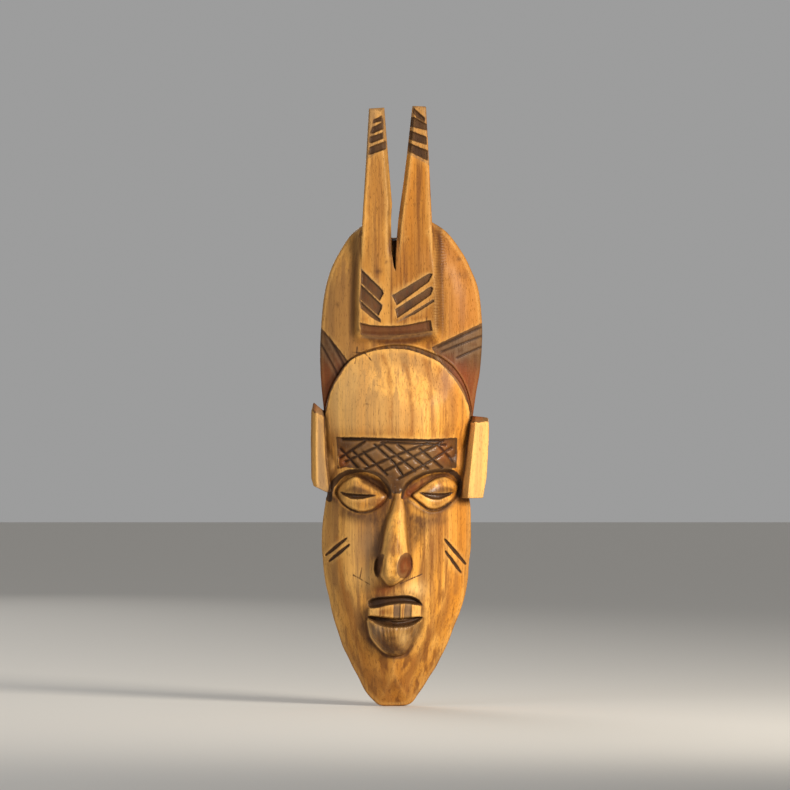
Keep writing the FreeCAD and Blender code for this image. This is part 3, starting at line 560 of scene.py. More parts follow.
# painted shadow, reddish, under the nose tip
toneSpot(-8, 78.6, 9, 4.6, 0.8)
toneSpot(-8, 78.6, 9, 4.6, 0.9, layer="red")
toneSpot(-13, 76, 7, 5, 0.35)
toneCurve([(-19.5, 72), (-12, 74), (-4, 74.6), (4, 75), (9, 76.4), (16, 71.6)], 1.2, 0.6)
toneSpot(11.5, 79, 7, 6, 0.9, layer="pale")
toneSpot(-20, 86, 8, 9, 0.5, layer="pale")
# painted shade greys the left cheek, and a painted reflection greys the upper left of the lower lip
toneSpot(-20, 108, 10, 18, 0.75, layer="ash")
toneSpot(-13, 50, 5, 5, 0.5, layer="ash")
toneSpot(12, 63, 4, 4, 0.5, layer="pale")
toneSpot(-15, 63.5, 4, 3, 0.5, layer="pale")
# painted light on the forehead, brightest left of centre, and the headdress painted darker
washShape(between(-faceLine, 0, 4) * between(gz, 178, 190) * (1 - 0.85 * between(gx, 4, 34)), "pale", 0.36)
washShape(between(-faceLine, 0, 4) * between(gz, 178, 190) * between(-8 - gx, -6, 30), "pale", 0.5)
toneSpot(-27, 216, 12, 13, 0.30, layer="ash")
toneSpot(-16, 229, 12, 5, 0.22)
toneSpot(6, 231, 14, 4, 0.20)
darkened = between(faceLine, -0.5, 0.8) * between(gz, 200, 214) * (0.6 + 0.4 * between(gx, 14, 40))
washShape(darkened * (1 - 0.5 * between(gz, 296, 330) * (np.abs(gx) < 24)), "headdressDarker", 1.0)
report("band and mouth drawn")

# chip cuts: chevrons, bar, horn stripes, cheek scars and the hairline

chips = {
    "leftChevrons": [[(-24.2, 292.4), (-9.5, 278), (-8.7, 275.4), (-11.5, 270.6), (-24, 282.6)],
                     [(-24.3, 282.1), (-9.7, 267.9), (-10.2, 265.3), (-12.3, 260.6), (-24.8, 271.9)],
                     [(-25.0, 271.4), (-11, 258.6), (-10.6, 256), (-17, 259.6), (-23.8, 265.7)]],
    "rightChevrons": [[(-3.3, 274.4), (21.7, 289.2), (24, 288.7), (21.2, 283.2), (-0.3, 267.5)],
                      [(-1.3, 265.2), (22.7, 280.5), (24.2, 279), (22.7, 274.5), (0, 258.8)],
                      [(-0.3, 256.3), (24.2, 271.9), (25, 270.3), (12, 262.0)]],
    "bar": [(-24.6, 256), (-17, 254.6), (-6, 254), (5, 254.6), (14, 256.4), (22.6, 258), (23.8, 250.6),
        (12, 248.6), (0, 247.4), (-12, 247), (-24, 248.2)],
    "leftStripes": [[(-16.2, 389.2), (-15.4, 391.4), (-10.4, 394.2), (-9.4, 390.8), (-12.6, 390)],
                    [(-17.8, 382.6), (-16.4, 386.4), (-9.6, 389.9), (-9.1, 385.4), (-15.5, 382.4)],
                    [(-18.4, 376.2), (-18, 380), (-9.4, 383), (-9.2, 379), (-17, 375.8)],
                    [(-19, 368.4), (-18.2, 373.2), (-7.6, 377.2), (-7.4, 372), (-18, 368)]],
    "rightStripes": [[(10.6, 396.6), (11.6, 399), (18.6, 392.6), (18.4, 390.2), (13, 393)],
                     [(8.6, 392.8), (11.4, 393.4), (19.9, 388.4), (19.9, 384.4), (13, 386), (8.4, 387.4)],
                     [(8.6, 384.4), (19.9, 380), (20.0, 374.8), (13, 376.8), (8.2, 378.8)],
                     [(7.2, 376.4), (20.6, 370.8), (20.4, 364.2), (8, 370.4)]],
    "stripeFloor": {"left": ((-19.4, 365.6), (-8.0, 371.8)), "right": ((6.6, 369.0), (21.2, 361.4))},
    "deep": 1.5, "bevel": 0.9,
    "scars": [[(-47.6, 100.9), (-33.7, 112.4)], [(-45.4, 96.9), (-32, 108.1)],
              [(31.8, 111.8), (45.9, 95)], [(32.4, 103.7), (42.8, 89.3)]],
    "scarWidth": 1.25, "scarDeep": 1.7,
    "scratchWidth": 0.3,
    "scratches": [[(-29.1, 88), (-18.2, 81.9)], [(-23.4, 92.9), (-24.7, 86.2)], [(1.9, 82.4), (16.9, 88.8)],
                  [(-30, 236.5), (-21, 235.6), (-17, 231)], [(-28, 229), (-26.5, 240)],
                      [(19.5, 259.5), (20.2, 252)]],
}


def chipOut(height, distance, deep, bevel):
    # a flat recess: its upper side slopes in, its other sides drop straight
    return height - deep * between(-distance, -0.1, bevel)


for group in ("leftChevrons", "rightChevrons"):
    for points in chips[group]:
        line = shapeDistance(points)
        boardHeight = chipOut(boardHeight, line, chips["deep"], chips["bevel"])
        for side in sides:
            hornLines[side + "Front"] = chipOut(hornLines[side + "Front"], line, chips["deep"],
                chips["bevel"])
        stainAndShadeShape(line, 0.1, deep=0.18)
        washShape(bell(lineDistance(points[:2]), 1.1) * (line < 0.3), "ash", 0.8)
        washShape(between(-line, 1.5, 3), "red", 0.22)
barLine = shapeDistance(chips["bar"])
boardHeight = chipOut(boardHeight, barLine, 1.6, 1.2)
stainAndShadeShape(barLine + 0.4 * wobble(17, 3, 2.4), 0.2, deep=0.15)
washShape(between(-barLine, 0, 2), "red", 0.3)
for side in sides:
    stripes = blank(farAway)
    for points in chips[side + "Stripes"]:
        line = shapeDistance(points)
        stripes = np.minimum(stripes, line)
        hornLines[side + "Front"] = chipOut(hornLines[side + "Front"], line, 1.1, 0.9)
        stainAndShadeShape(line, 0.35, deep=0.6)
    (ax, az), (bx, bz) = chips["stripeFloor"][side]
    above = gz - az - (gx - ax) * (bz - az) / (bx - ax)
    own = between(-hornLines[side], -1.0, 0.0) * between(above, -0.2, 0.6)
    own = own * between(stripes, 0.2, 0.7)
    washShape(own, "smearAndShade", 0.25)
    washShape(own, "ash", 0.6)
    hornLines[side + "Front"] = hornLines[side + "Front"] - 0.35 * between(above, -0.2, 0.8)
for points in chips["scars"]:
    a, b = np.array(points)
    line = lineDistance(points)
    share = np.clip(((gx - a[0]) * (b[0] - a[0]) + (gz - a[1]) * (b[1] - a[1])) / np.sum((b - a) ** 2), 0, 1)
    width = chips["scarWidth"] * np.sqrt(np.clip(np.sin(np.pi * (0.08 + 0.84 * share)), 0, 1))
    faceHeight -= chips["scarDeep"] * np.clip(1 - line / (width * 1.25), 0, 1)
    stainAndShadeShape(line - width, deep=0.65)
for points in chips["scratches"]:
    line = lineDistance(points)
    faceHeight -= 0.35 * bell(line, 0.35)
    boardHeight -= 0.35 * bell(line, 0.35)
    stainAndShadeShape(line - chips["scratchWidth"], deep=0.7)
toneShape([(-22, 249), (0, 248), (22, 250.6), (19, 245), (8, 241.6), (-8, 241.6), (-18, 244.6)], 1.6, 0.95)
toneLine([(-23, 246.8), (-12, 245.8), (0, 246), (12, 247.2), (23, 249)], 0.8, 0.8, layer="ash")
toneShape([(-20, 248), (0, 247), (20, 249), (10, 243), (-10, 243)], 2.0, 0.25, layer="red")
toneLine([(-26, 252), (-22, 248.6), (-14, 247.4)], 1.5, 0.6)

# dark panels over the ears, each with a few thin grooves along its upper edge
panels = {
    "left": [(-54, 256), (-50.2, 252.4), (-40, 240.4), (-32.1, 229.8), (-38.5, 220.6), (-44, 210.6),
        (-47.4, 196), (-56, 196)],
    "right": [(60, 256.4), (55.8, 255.6), (38.5, 247.2), (23.1, 239.8), (29.5, 228.6), (37.4, 220),
        (44, 209.6), (48.2, 200), (50, 190), (58, 190)],
    "grooves": {"left": (((-45.6, 247), (-35.4, 228)), ((-51, 242.2), (-39.6, 221.6))),
                "right": (((27, 239.8), (56, 253.2)), ((30, 237), (56.2, 247.3)),
                    ((40, 232.8), (56.2, 240.1)))},
}
for side in sides:
    line = shapeDistance(panels[side])
    boardHeight -= 0.8 * between(-line, -0.1, 1.0)
    stainAndShadeShape(line, 0.2)
    inPanel = between(-line, 0, 1.5)
    for points in panels["grooves"][side]:
        groove = lineDistance(points)
        boardHeight -= 0.5 * bell(groove, 0.55)
        washShape(bell(groove, 0.8) * inPanel, "lattice", 0.75)
        washShape(bell(groove - 1.6, 0.8) * inPanel, "ash", 0.5)
washShape(between(-shapeDistance(panels["right"]), 0, 2) * between(250 - gz - 0.4 * gx, -6, 18), "red", 1.0)
washShape(between(-shapeDistance(panels["left"]), 0, 2) * between(238 - gz, -4, 24), "red", 0.7)

# the cut that sets off the forehead: a dark line, then a brown band that widens to the right
hairline = {"deep": 1.0, "line": 0.4, "places": [-44, -30, -16, 0, 20, 38, 49],
    "bandEnds": [0.8, 0.9, 1.1, 2.2, 3.1, 3.6, 1.6]}
overBrow = between(gz, 188, 196)
bandEnd = along(hairline["places"], hairline["bandEnds"], gx)
outsideFace = np.clip(faceLine, 0, 20)
boardHeight -= hairline["deep"] * overBrow * (1 - between(outsideFace, bandEnd - 0.5, bandEnd + 0.4))
boardHeight += 0.35 * overBrow * bell(outsideFace - bandEnd - 0.9, 0.5)
stainAndShadeShape(np.maximum(np.maximum(faceLine - bandEnd, -faceLine), 30 * (1 - overBrow)))
greyed = overBrow * between(bandEnd, 1.0, 2.6) * between(bandEnd - faceLine, 0, 0.8)
washShape(greyed * (faceLine > 0.8), "ash", 0.45)
stainAndShadeShape(np.abs(faceLine - 0.3) + 30 * (1 - overBrow) + 0.15 * wobble(52, 3, 3), hairline["line"], deep=0.8)

# rough rasped band down the crest's right side, and painted shade on the slope on its left
rasped = bell(gx - 27.8, 3.2) * between(gz, 246, 256) * between(330 - gz, 0, 12)
boardHeight += 0.30 * rasped * np.sin(gz * 3.4 + 2.2 * wobble(51, 3, 4))
addTone("smearAndShade", 0.80 * rasped)
# painted shade on the crest's left slope
leftSlope = bell(gx + 27.4, 2.6) * between(gz, 246, 262) * between(330 - gz, 0, 12)
addTone("smearAndShade", 0.50 * leftSlope)
# small knots and chips that have filled with dirt
knots = [(-5, 272, 1.0), (-12.5, 290.3, 2.8), (-1.5, 117, 0.7), (-33, 128, 0.5), (35, 84, 0.6),
    (-6.8, 296.5, 1.2), (43.7, 288.7, 3.2), (41, 299, 1.8), (-40, 268, 1.4), (12, 214, 0.8), (-20, 202, 0.7)]
for x, z, size in knots:
    toneSpot(x, z, size, size * 0.55, 0.9)
# the veins of darker wood up the forehead and down the cheeks
veins = {
    "lines": [[(-9.4, 234), (-6, 225.6), (-4.6, 212), (-4.2, 200), (-4.8, 181)],
        [(5, 228), (7.6, 221), (9, 208), (10.2, 196), (9.6, 181)],
              [(18.6, 232), (21.6, 219), (22.6, 206), (23.8, 194), (24.6, 181)],
                  [(28, 226), (31.4, 214), (32.2, 200), (33.2, 188), (32.6, 180)],
              [(33.6, 218), (36.6, 206), (37.4, 184)], [(-39, 112), (-38, 92), (-33, 66), (-27, 42)],
                  [(-33, 76), (-28, 52), (-22, 30)],
              [(24, 84), (25, 66), (21, 46)], [(34, 90), (33.6, 70), (28, 48)], [(40, 96), (39, 76)],
                  [(-10, 24), (-6, 6)], [(12, 34), (6, 10)]],
    "wide": 1.6, "strength": 0.75,
}
for points in veins["lines"]:
    vein = lineDistance(curved(points, closed=False)) + 0.5 * np.abs(wobble(18, 3, 18))
    washShape(bell(vein, veins["wide"]), "vein", veins["strength"])
# painted shade: the crack under the fork is painted black inside
crackInside = shapeDistance([(-3.4, 314), (-3.5, 304), (-2.2, 294), (-0.9, 290.4), (-0.7, 304), (0.0, 314)])
stainAndShadeShape(crackInside, 0.0, deep=1.0)
report("chip cuts drawn")

# ears

ears = {
    "left": {
        "outline": [(-40, 203), (-47.2, 196.4), (-50.5, 198.6), (-55.8, 203.2), (-57.2, 197), (-57.5, 180),
            (-57.2, 152.5), (-55.6, 147.4), (-46.8, 143), (-40, 143)],
        "heights": [143, 170, 203], "groove": [-45.2, -47.8, -49.0], "ridge": [-53.0, -53.4, -53.6],
            "outer": [-57.2, -57.5, -57.2],
    },
    "right": {
        "outline": [(40, 139), (57.4, 139.3), (59.8, 153), (60.9, 171.7), (61.5, 185.7), (60.9, 192.7),
            (58.4, 193.2), (49.4, 194.1), (46.1, 189.4), (40, 189)],
        "heights": [139, 155, 174, 188], "groove": [43.0, 44.4, 46.8, 48.6],
            "ridge": [47.2, 48.6, 50.6, 52.2], "outer": [57.4, 60, 61, 61.5],
    },
    "grooveDepth": {"left": 15.5, "right": 13.0}, "ridgeDepth": 23.5, "outerDepth": {"left": 19.0,
        "right": 17.5},
    "back": 5.0, "endCut": 4.6,
    # the upper end is chopped back at a slant: height, rise, where it starts and how far it runs
    "chopped": {"left": (196.5, 0.75, 47.2, 9), "right": (189.8, 1.25, 46, 3.4)},
}
earParts = []
for side, sign in (("left", -1), ("right", 1)):
    ear = ears[side]
    groove, ridge, outer = (smoothAlong(ear["heights"], ear[key]) for key in ("groove", "ridge", "outer"))
    inward = np.clip((gx - groove) / (ridge - groove), 0, 1)
    outward = np.clip((gx - ridge) / (outer - ridge), 0, 1)
    low, top, far = ears["grooveDepth"][side], ears["ridgeDepth"], ears["outerDepth"][side]
    height = low + (top - low) * inward ** 0.8 - (top - far) * outward ** 1.4
    height = height + 0.2 * wobble(61, 6, 40) + 0.12 * wobble(62, 2.2, 60)
    height = height - 8 * np.clip((np.abs(groove) - np.abs(gx)) / 1.2, 0, 1)
    line = shapeDistance(ear["outline"])
    chopLevel, chopRise, chopStart, chopReach = ears["chopped"][side]
    chop = chopLevel + chopRise * np.clip(sign * gx - chopStart, 0, chopReach)
    endCut = np.clip((gz - (chop - ears["endCut"])) / ears["endCut"], 0, 1)
    height = height - 7.5 * endCut
    earParts.append((line, height))
    endGrain = np.maximum(chop - ears["endCut"] + 0.4 - gz + 0.9 * wobble(63, 1.6, 50), line)
    endGrain = np.maximum(endGrain, np.abs(groove) - 1 - np.abs(gx))
    stainAndShadeShape(np.where(np.sign(gx) == sign, endGrain, farAway))
    # painted shade: a dark line down the groove where the ear meets the face
    root = np.abs(gx - groove) - 0.35 - 0.25 * wobble(64, 3, 9)
    stainAndShadeShape(np.where((gz > 140) & (gz < 196), root, farAway))
    onEar = between(-line, -0.5, 0.3) * between(np.abs(gx) - np.abs(groove), 0.0, 1.0)
    # painted shade greys the left ear's inner plane; painted light brightens the right ear
    if side == "left":
        washShape(onEar * between(gx - ridge, -0.8, 0.4), "ash", 1.0)
        washShape(onEar * between(gx - ridge, 0, 1), "smearAndShade", 0.2)
    else:
        washShape(onEar, "pale", 0.6)
    # and a soft painted shade down the same groove
    toneLine([(sign * 45.5, 143), (sign * 46, 165), (sign * 47.5, 188)], 1.6, 0.25)
toneSpot(-44, 140, 5, 4.5, 0.75)
toneSpot(-47, 131, 3.5, 9, 0.35)
toneSpot(43, 139, 5, 4.5, 0.6)
report("ears drawn")

# the hollow back

back = {
    "bowlSide": [(-9, 24), (-21, 41), (-30, 66), (-34.5, 97), (-34.5, 132), (-30, 163), (-18, 183)],
    "bowlTop": (0, 189), "bowlFoot": (0, 19.5),
    "bowlDeep": 17.0, "bowlSlope": 30.0,
    "recess": (-21.0, 250.0, 21.0, 309.0), "recessDeep": 8.0, "recessWall": 0.8,
    "gouges": {"seed": 71, "wide": 9.0, "long": 26.0, "deep": 0.95},
    "rimWear": 0.22,
}


def gougeMarks(setup):
    # overlapping scoops in staggered rows, each a little out of line
    rng = np.random.default_rng(setup["seed"])
    marks = blank()
    columns, rows = int(120 / setup["wide"]) + 2, int(420 / setup["long"]) + 2
    for i in range(columns):
        for j in range(rows):
            x = -60 + i * setup["wide"] + rng.uniform(-1.4, 1.4)
            z = (j + 0.5 * (i % 2)) * setup["long"] + rng.uniform(-4, 4)
            part = window(np.array([(x, z)]), setup["long"])
            u = (gx[part] - x) / (setup["wide"] * 0.68)
            v = (gz[part] - z) / (setup["long"] * 0.66)
            marks[part] = np.maximum(marks[part], 1 - u * u - v * v)
    return setup["deep"] * marks


scoops = gougeMarks(back["gouges"])
otherSide = [(-x, z) for x, z in reversed(back["bowlSide"])]
bowlOutline = back["bowlSide"] + [back["bowlTop"]] + otherSide + [back["bowlFoot"]]
bowlLine = shapeDistance(curved(bowlOutline), reach=20)
bowlFloor = back["bowlDeep"] * pillow(-bowlLine, back["bowlSlope"], 2.2)
bowl = np.where(bowlLine < 0, bowlFloor + scoops * between(-bowlLine, 0, 5), 0)
rx0, rz0, rx1, rz1 = back["recess"]
recessLine = np.maximum(np.maximum(rx0 - gx, gx - rx1), np.maximum(rz0 - gz, gz - rz1))
recess = back["recessDeep"] * between(-recessLine, 0, back["recessWall"])
backDepth = back["rimWear"] * (1 + wobble(72, 12, 40)) * 0.5 * (recessLine > 1) + np.maximum(bowl, recess)
report("back drawn")

# from the drawing to a solid

step = drawing["step"]
depths = np.arange(*drawing["depth"], step, dtype=np.float32)


def slopeOf(height):
    dx, dz = np.gradient(height, step)
    return np.sqrt(1 + dx * dx + dz * dz).astype(np.float32)


def slab(outline, front, rear, rounding):
    # the solid between two reliefs, inside an outline: negative inside
    frontSide = (depths[None, :, None] - front[:, None, :]) / slopeOf(front)[:, None, :]
    rearSide = (rear[:, None, :] - depths[None, :, None]) / slopeOf(rear)[:, None, :]
    solid = softMax(np.broadcast_to(outline[:, None, :], frontSide.shape), frontSide, rounding)
    return np.maximum(solid, rearSide).astype(np.float32)


def addSlab(block, outline, front, rear, rounding):
    touched = np.argwhere(outline < 3)
    (i0, k0), (i1, k1) = touched.min(axis=0), touched.max(axis=0) + 1
    part = (slice(i0, i1), slice(None), slice(k0, k1))
    flat = (slice(i0, i1), slice(k0, k1))
    block[part] = np.minimum(block[part], slab(outline[flat], front[flat], rear[flat], rounding))


block = {
    "rounding": {"board": 2.0, "face": 1.2, "ear": 0.5, "horn": 1.0},
    # the crack under the fork goes most of the way through the board, and the fork right through
    "crack": [(-3.9, 325), (-3.7, 304), (-2.2, 294), (-0.9, 290.4), (-0.7, 304), (0.9, 325), (3, 345),
        (-3.6, 345)],
    "crackFloor": ([311, 313.4], [12.5, 0]),
    "fork": [(-4.6, 313.4), (-5, 330), (-5, 345), (5, 345), (5, 330), (2, 313.4)],
    "mostTriangles": 190000,
}


def carveBlock(setup):
    solid = np.full((len(xs), len(depths), len(zs)), 3.0, dtype=np.float32)
    rounding = setup["rounding"]
    addSlab(solid, boardLine, boardHeight, backDepth, rounding["board"])
    addSlab(solid, faceLine, faceHeight, backDepth, rounding["face"])
    for line, height in earParts:
        addSlab(solid, line, height, np.full_like(gx, ears["back"]), rounding["ear"])
    floor = along(*setup["crackFloor"])
    crack = np.maximum(shapeDistance(setup["crack"])[:, None, :], floor[:, None, :] - depths[None, :, None])
    fork = shapeDistance(setup["fork"])
    solid = np.maximum(np.maximum(solid, -crack), -fork[:, None, :])
    for side in sides:
        hornRear = np.maximum(hornBack, backDepth)
        addSlab(solid, hornLines[side], hornLines[side + "Front"], hornRear, rounding["horn"])
    return solid


def meshFromBlock(name, block):
    # the surface where the block's value is zero, in metres in the part's own frame
    grid = vdb.FloatGrid(1.5)
    grid.copyFromArray(np.clip(block, -1.5, 1.5))
    points, _, quads = grid.convertToPolygons(isovalue=0.0)
    carving = points * step + np.array([xs[0], depths[0], zs[0]], dtype=np.float32)
    world = np.column_stack([carving[:, 0], -carving[:, 1], carving[:, 2] + chinLevel]) / 1000
    mesh = bpy.data.meshes.new(name)
    mesh.from_pydata(world.tolist(), [], quads[:, ::-1].tolist())
    mesh.update()
    return mesh


def thinOut(obj, mostTriangles):
    # keeps the detail where the surface bends and drops it where it is flat
    triangles = sum(len(p.vertices) - 2 for p in obj.data.polygons)
    if triangles > mostTriangles:
        decimate = obj.modifiers.new("thin", "DECIMATE")
        decimate.ratio = mostTriangles / triangles
        graph = bpy.context.evaluated_depsgraph_get()
        thinner = bpy.data.meshes.new_from_object(obj.evaluated_get(graph))
        obj.modifiers.clear()
        obj.data = thinner
    return triangles


def readDrawing(layer, x, z):
    # the value of a drawing at each point, between its grid spots
    u = np.clip((x - xs[0]) / step, 0, len(xs) - 1.001)
    v = np.clip((z - zs[0]) / step, 0, len(zs) - 1.001)
    i, k = u.astype(int), v.astype(int)
    fu, fv = u - i, v - k
    return ((layer[i, k] * (1 - fu) + layer[i + 1, k] * fu) * (1 - fv)
            + (layer[i, k + 1] * (1 - fu) + layer[i + 1, k + 1] * fu) * fv)


def paintLayers(mesh, layers):
    # front layers fade out on the back of the mask, which was never stained
    spots = np.empty(len(mesh.vertices) * 3, dtype=np.float32)
    mesh.vertices.foreach_get("co", spots)
    spots = spots.reshape(-1, 3) * 1000
    x, depth, z = spots[:, 0], -spots[:, 1], spots[:, 2] - chinLevel
    onBack = 1 - between(depth, 2.0, 5.5)
    normals = np.empty(len(mesh.vertices) * 3, dtype=np.float32)
    mesh.vertices.foreach_get("normal", normals)
    facesBack = between(normals.reshape(-1, 3)[:, 1], 0.15, 0.5)
    rear = np.maximum(onBack, facesBack)
    for name, layer in layers.items():
        value = readDrawing(layer, x, z)
        if name == "cut":
            value = np.clip(value, -4, 4) * (1 - rear) + 4 * rear
        else:
            value = value * (1 - rear)
        attribute = mesh.attributes.new(name, "FLOAT", "POINT")
        attribute.data.foreach_set("value", value.astype(np.float32))
    attribute = mesh.attributes.new("rear", "FLOAT", "POINT")
    attribute.data.foreach_set("value", rear.astype(np.float32))


# where the surface stands proud it is rubbed pale, and where it sinks it is painted darker: painted shade in
# the recesses, with the wax and dirt held there
def softened(layer, reach):
    kernel = np.hanning(2 * int(reach / step) + 3)
    kernel /= kernel.sum()
    side = len(kernel) // 2
    for axis in (0, 1):
        pad = [(side, side) if a == axis else (0, 0) for a in (0, 1)]
        wide = np.pad(layer, pad, mode="edge")
        long = layer.shape[axis]
        layer = sum(share * np.take(wide, range(i, i + long), axis=axis) for i, share in enumerate(kernel))
    return layer


def topOfAll():
    front = np.where(boardLine < 0, boardHeight, 0)
    front = np.where(faceLine < 0, np.maximum(front, faceHeight), front)
    for side in sides:
        front = np.where(hornLines[side] < 0, hornLines[side + "Front"], front)
    for line, height in earParts:
        front = np.where(line < 0, np.maximum(front, height), front)
    return front


front = topOfAll()
proud = front - softened(front, 3.0)
silhouette = np.minimum(np.minimum(boardLine, faceLine), np.minimum(hornLines["left"], hornLines["right"]))
for line, _ in earParts:
    silhouette = np.minimum(silhouette, line)
underEyes = np.zeros_like(gx)
for socket, _, _ in eyeLines.values():
    underEyes = np.maximum(underEyes, bell(np.clip(socket, -9, 9), 2.5) * between(148 - gz, 0, 6))
quiet = (0.35 + 0.65 * between(-silhouette, 0.5, 3.5)) * (1 - 0.9 * underEyes)
stainAndShade["edge"] = (np.clip(proud / 0.6, 0, 1) * quiet).astype(np.float32)
stainAndShade["hollow"] = np.clip(-(front - softened(front, 5.0)) / 1.1, 0, 1).astype(np.float32)
carving = bpy.data.objects.new("carving", meshFromBlock("carving", carveBlock(block)))
bpy.context.collection.objects.link(carving)
before = thinOut(carving, block["mostTriangles"])
carving.data.shade_smooth()
paintLayers(carving.data, stainAndShade)
report(f"carving cut: {before} triangles, {len(carving.data.polygons)} kept")

# materials


class Nodes:
    # a short hand for wiring shader nodes
    def __init__(self, name):
        self.material = bpy.data.materials.new(name)
        self.material.use_nodes = True
        self.tree = self.material.node_tree
        self.shader = self.tree.nodes["Principled BSDF"]

    def add(self, kind, inputs=None, **settings):
        node = self.tree.nodes.new("ShaderNode" + kind)
        for key, value in settings.items():
            setattr(node, key, value)
        for key, value in (inputs or {}).items():
            self.put(node.inputs[key], value)
        return node

    def put(self, socket, value):
        if isinstance(value, bpy.types.NodeSocket):
            self.tree.links.new(value, socket)
        elif isinstance(value, bpy.types.Node):
            self.tree.links.new(value.outputs[0], socket)
        else:
            socket.default_value = value

    def attribute(self, name):
        return self.add("Attribute", attribute_name=name, attribute_type="GEOMETRY").outputs["Fac"]

    def math(self, operation, a, b=0.0, clamp=False):
        return self.add("Math", {0: a, 1: b}, operation=operation, use_clamp=clamp).outputs[0]

    def times(self, a, b, clamp=False):
        return self.math("MULTIPLY", a, b, clamp)

    def plus(self, a, b, clamp=False):
        return self.math("ADD", a, b, clamp)

    def vector(self, operation, *inputs):
        return self.add("VectorMath", dict(enumerate(inputs)), operation=operation).outputs[0]

    def span(self, value, low, high, toLow=0.0, toHigh=1.0, smooth=True):
        kind = "SMOOTHSTEP" if smooth else "LINEAR"
        node = self.add("MapRange", {"Value": value, "From Min": low, "From Max": high, "To Min": toLow,
            "To Max": toHigh},
                        interpolation_type=kind)
        return node.outputs["Result"]

    def mix(self, share, a, b, blend="MIX"):
        node = self.add("Mix", data_type="RGBA", blend_type=blend)
        self.put(node.inputs[0], share)
        self.put(node.inputs[6], a)
        self.put(node.inputs[7], b)
        return node.outputs[2]

    def tint(self, tone, where, share, colour):
        return self.mix(self.times(where, share), tone, colour)

    def noise(self, where, scale, detail=3.0, rough=0.55, distort=0.0):
        node = self.add("TexNoise", {"Vector": where, "Scale": scale, "Detail": detail, "Roughness": rough,
            "Distortion": distort})
        return node.outputs["Fac"]

    def stretch(self, where, scale, turn=(0, 0, 0)):
        return self.add("Mapping", {"Vector": where, "Scale": scale, "Rotation": turn}).outputs[0]


def rgb(r, g, b):
    # a colour given as it looks on a screen, 0 to 255
    def linear(v):
        v /= 255
        return v / 12.92 if v <= 0.04045 else ((v + 0.055) / 1.055) ** 2.4
    return (linear(r), linear(g), linear(b), 1.0)


woodLook = {
    "light": rgb(236, 174, 84), "gold": rgb(216, 149, 52), "orange": rgb(200, 124, 32),
        "streak": rgb(112, 63, 22),
    # grey paints shade down the left side; orange, the wood's own tone, also paints light down the right
    "grey": rgb(158, 120, 70), "pore": rgb(76, 44, 18), "pale": rgb(250, 202, 128), "bare": rgb(176, 130, 80),
    "stainAndShade": rgb(98, 64, 33), "stainLow": rgb(70, 45, 27), "black": rgb(36, 23, 15), "red": rgb(134, 60, 17),
    "smearAndShade": rgb(74, 43, 21), "ash": rgb(136, 110, 82), "rubbed": rgb(244, 188, 104),
        "rubbedStain": rgb(166, 122, 72),
    "vein": rgb(150, 92, 34), "headdressDarkerShare": 0.60, "ringSpacing": 0.0085, "pith": (0.012, 0.105, 0.0),
    # what is laid over the bare wood, from the first to the last: drawing, strength, colour; pale and ash
    # also carry painted light, shade, a highlight and a reflection, and hollow paints shade in the recesses
    "overWood": [("pale", 0.75, "pale"), ("vein", 1.0, "vein"), ("ash", 0.85, "ash"), ("rear", 0.6, "bare"),
        ("edge", 0.45, "rubbed"), ("pore", 0.50, "pore"), ("fleck", 0.20, "pore"),
        ("hollow", 0.65, "smearAndShade"), ("lattice", 0.75, "black")],
    "gloss": 0.62, "polished": 0.36, "coat": 0.04, "coatRough": 0.2, "specular": 0.20,
}


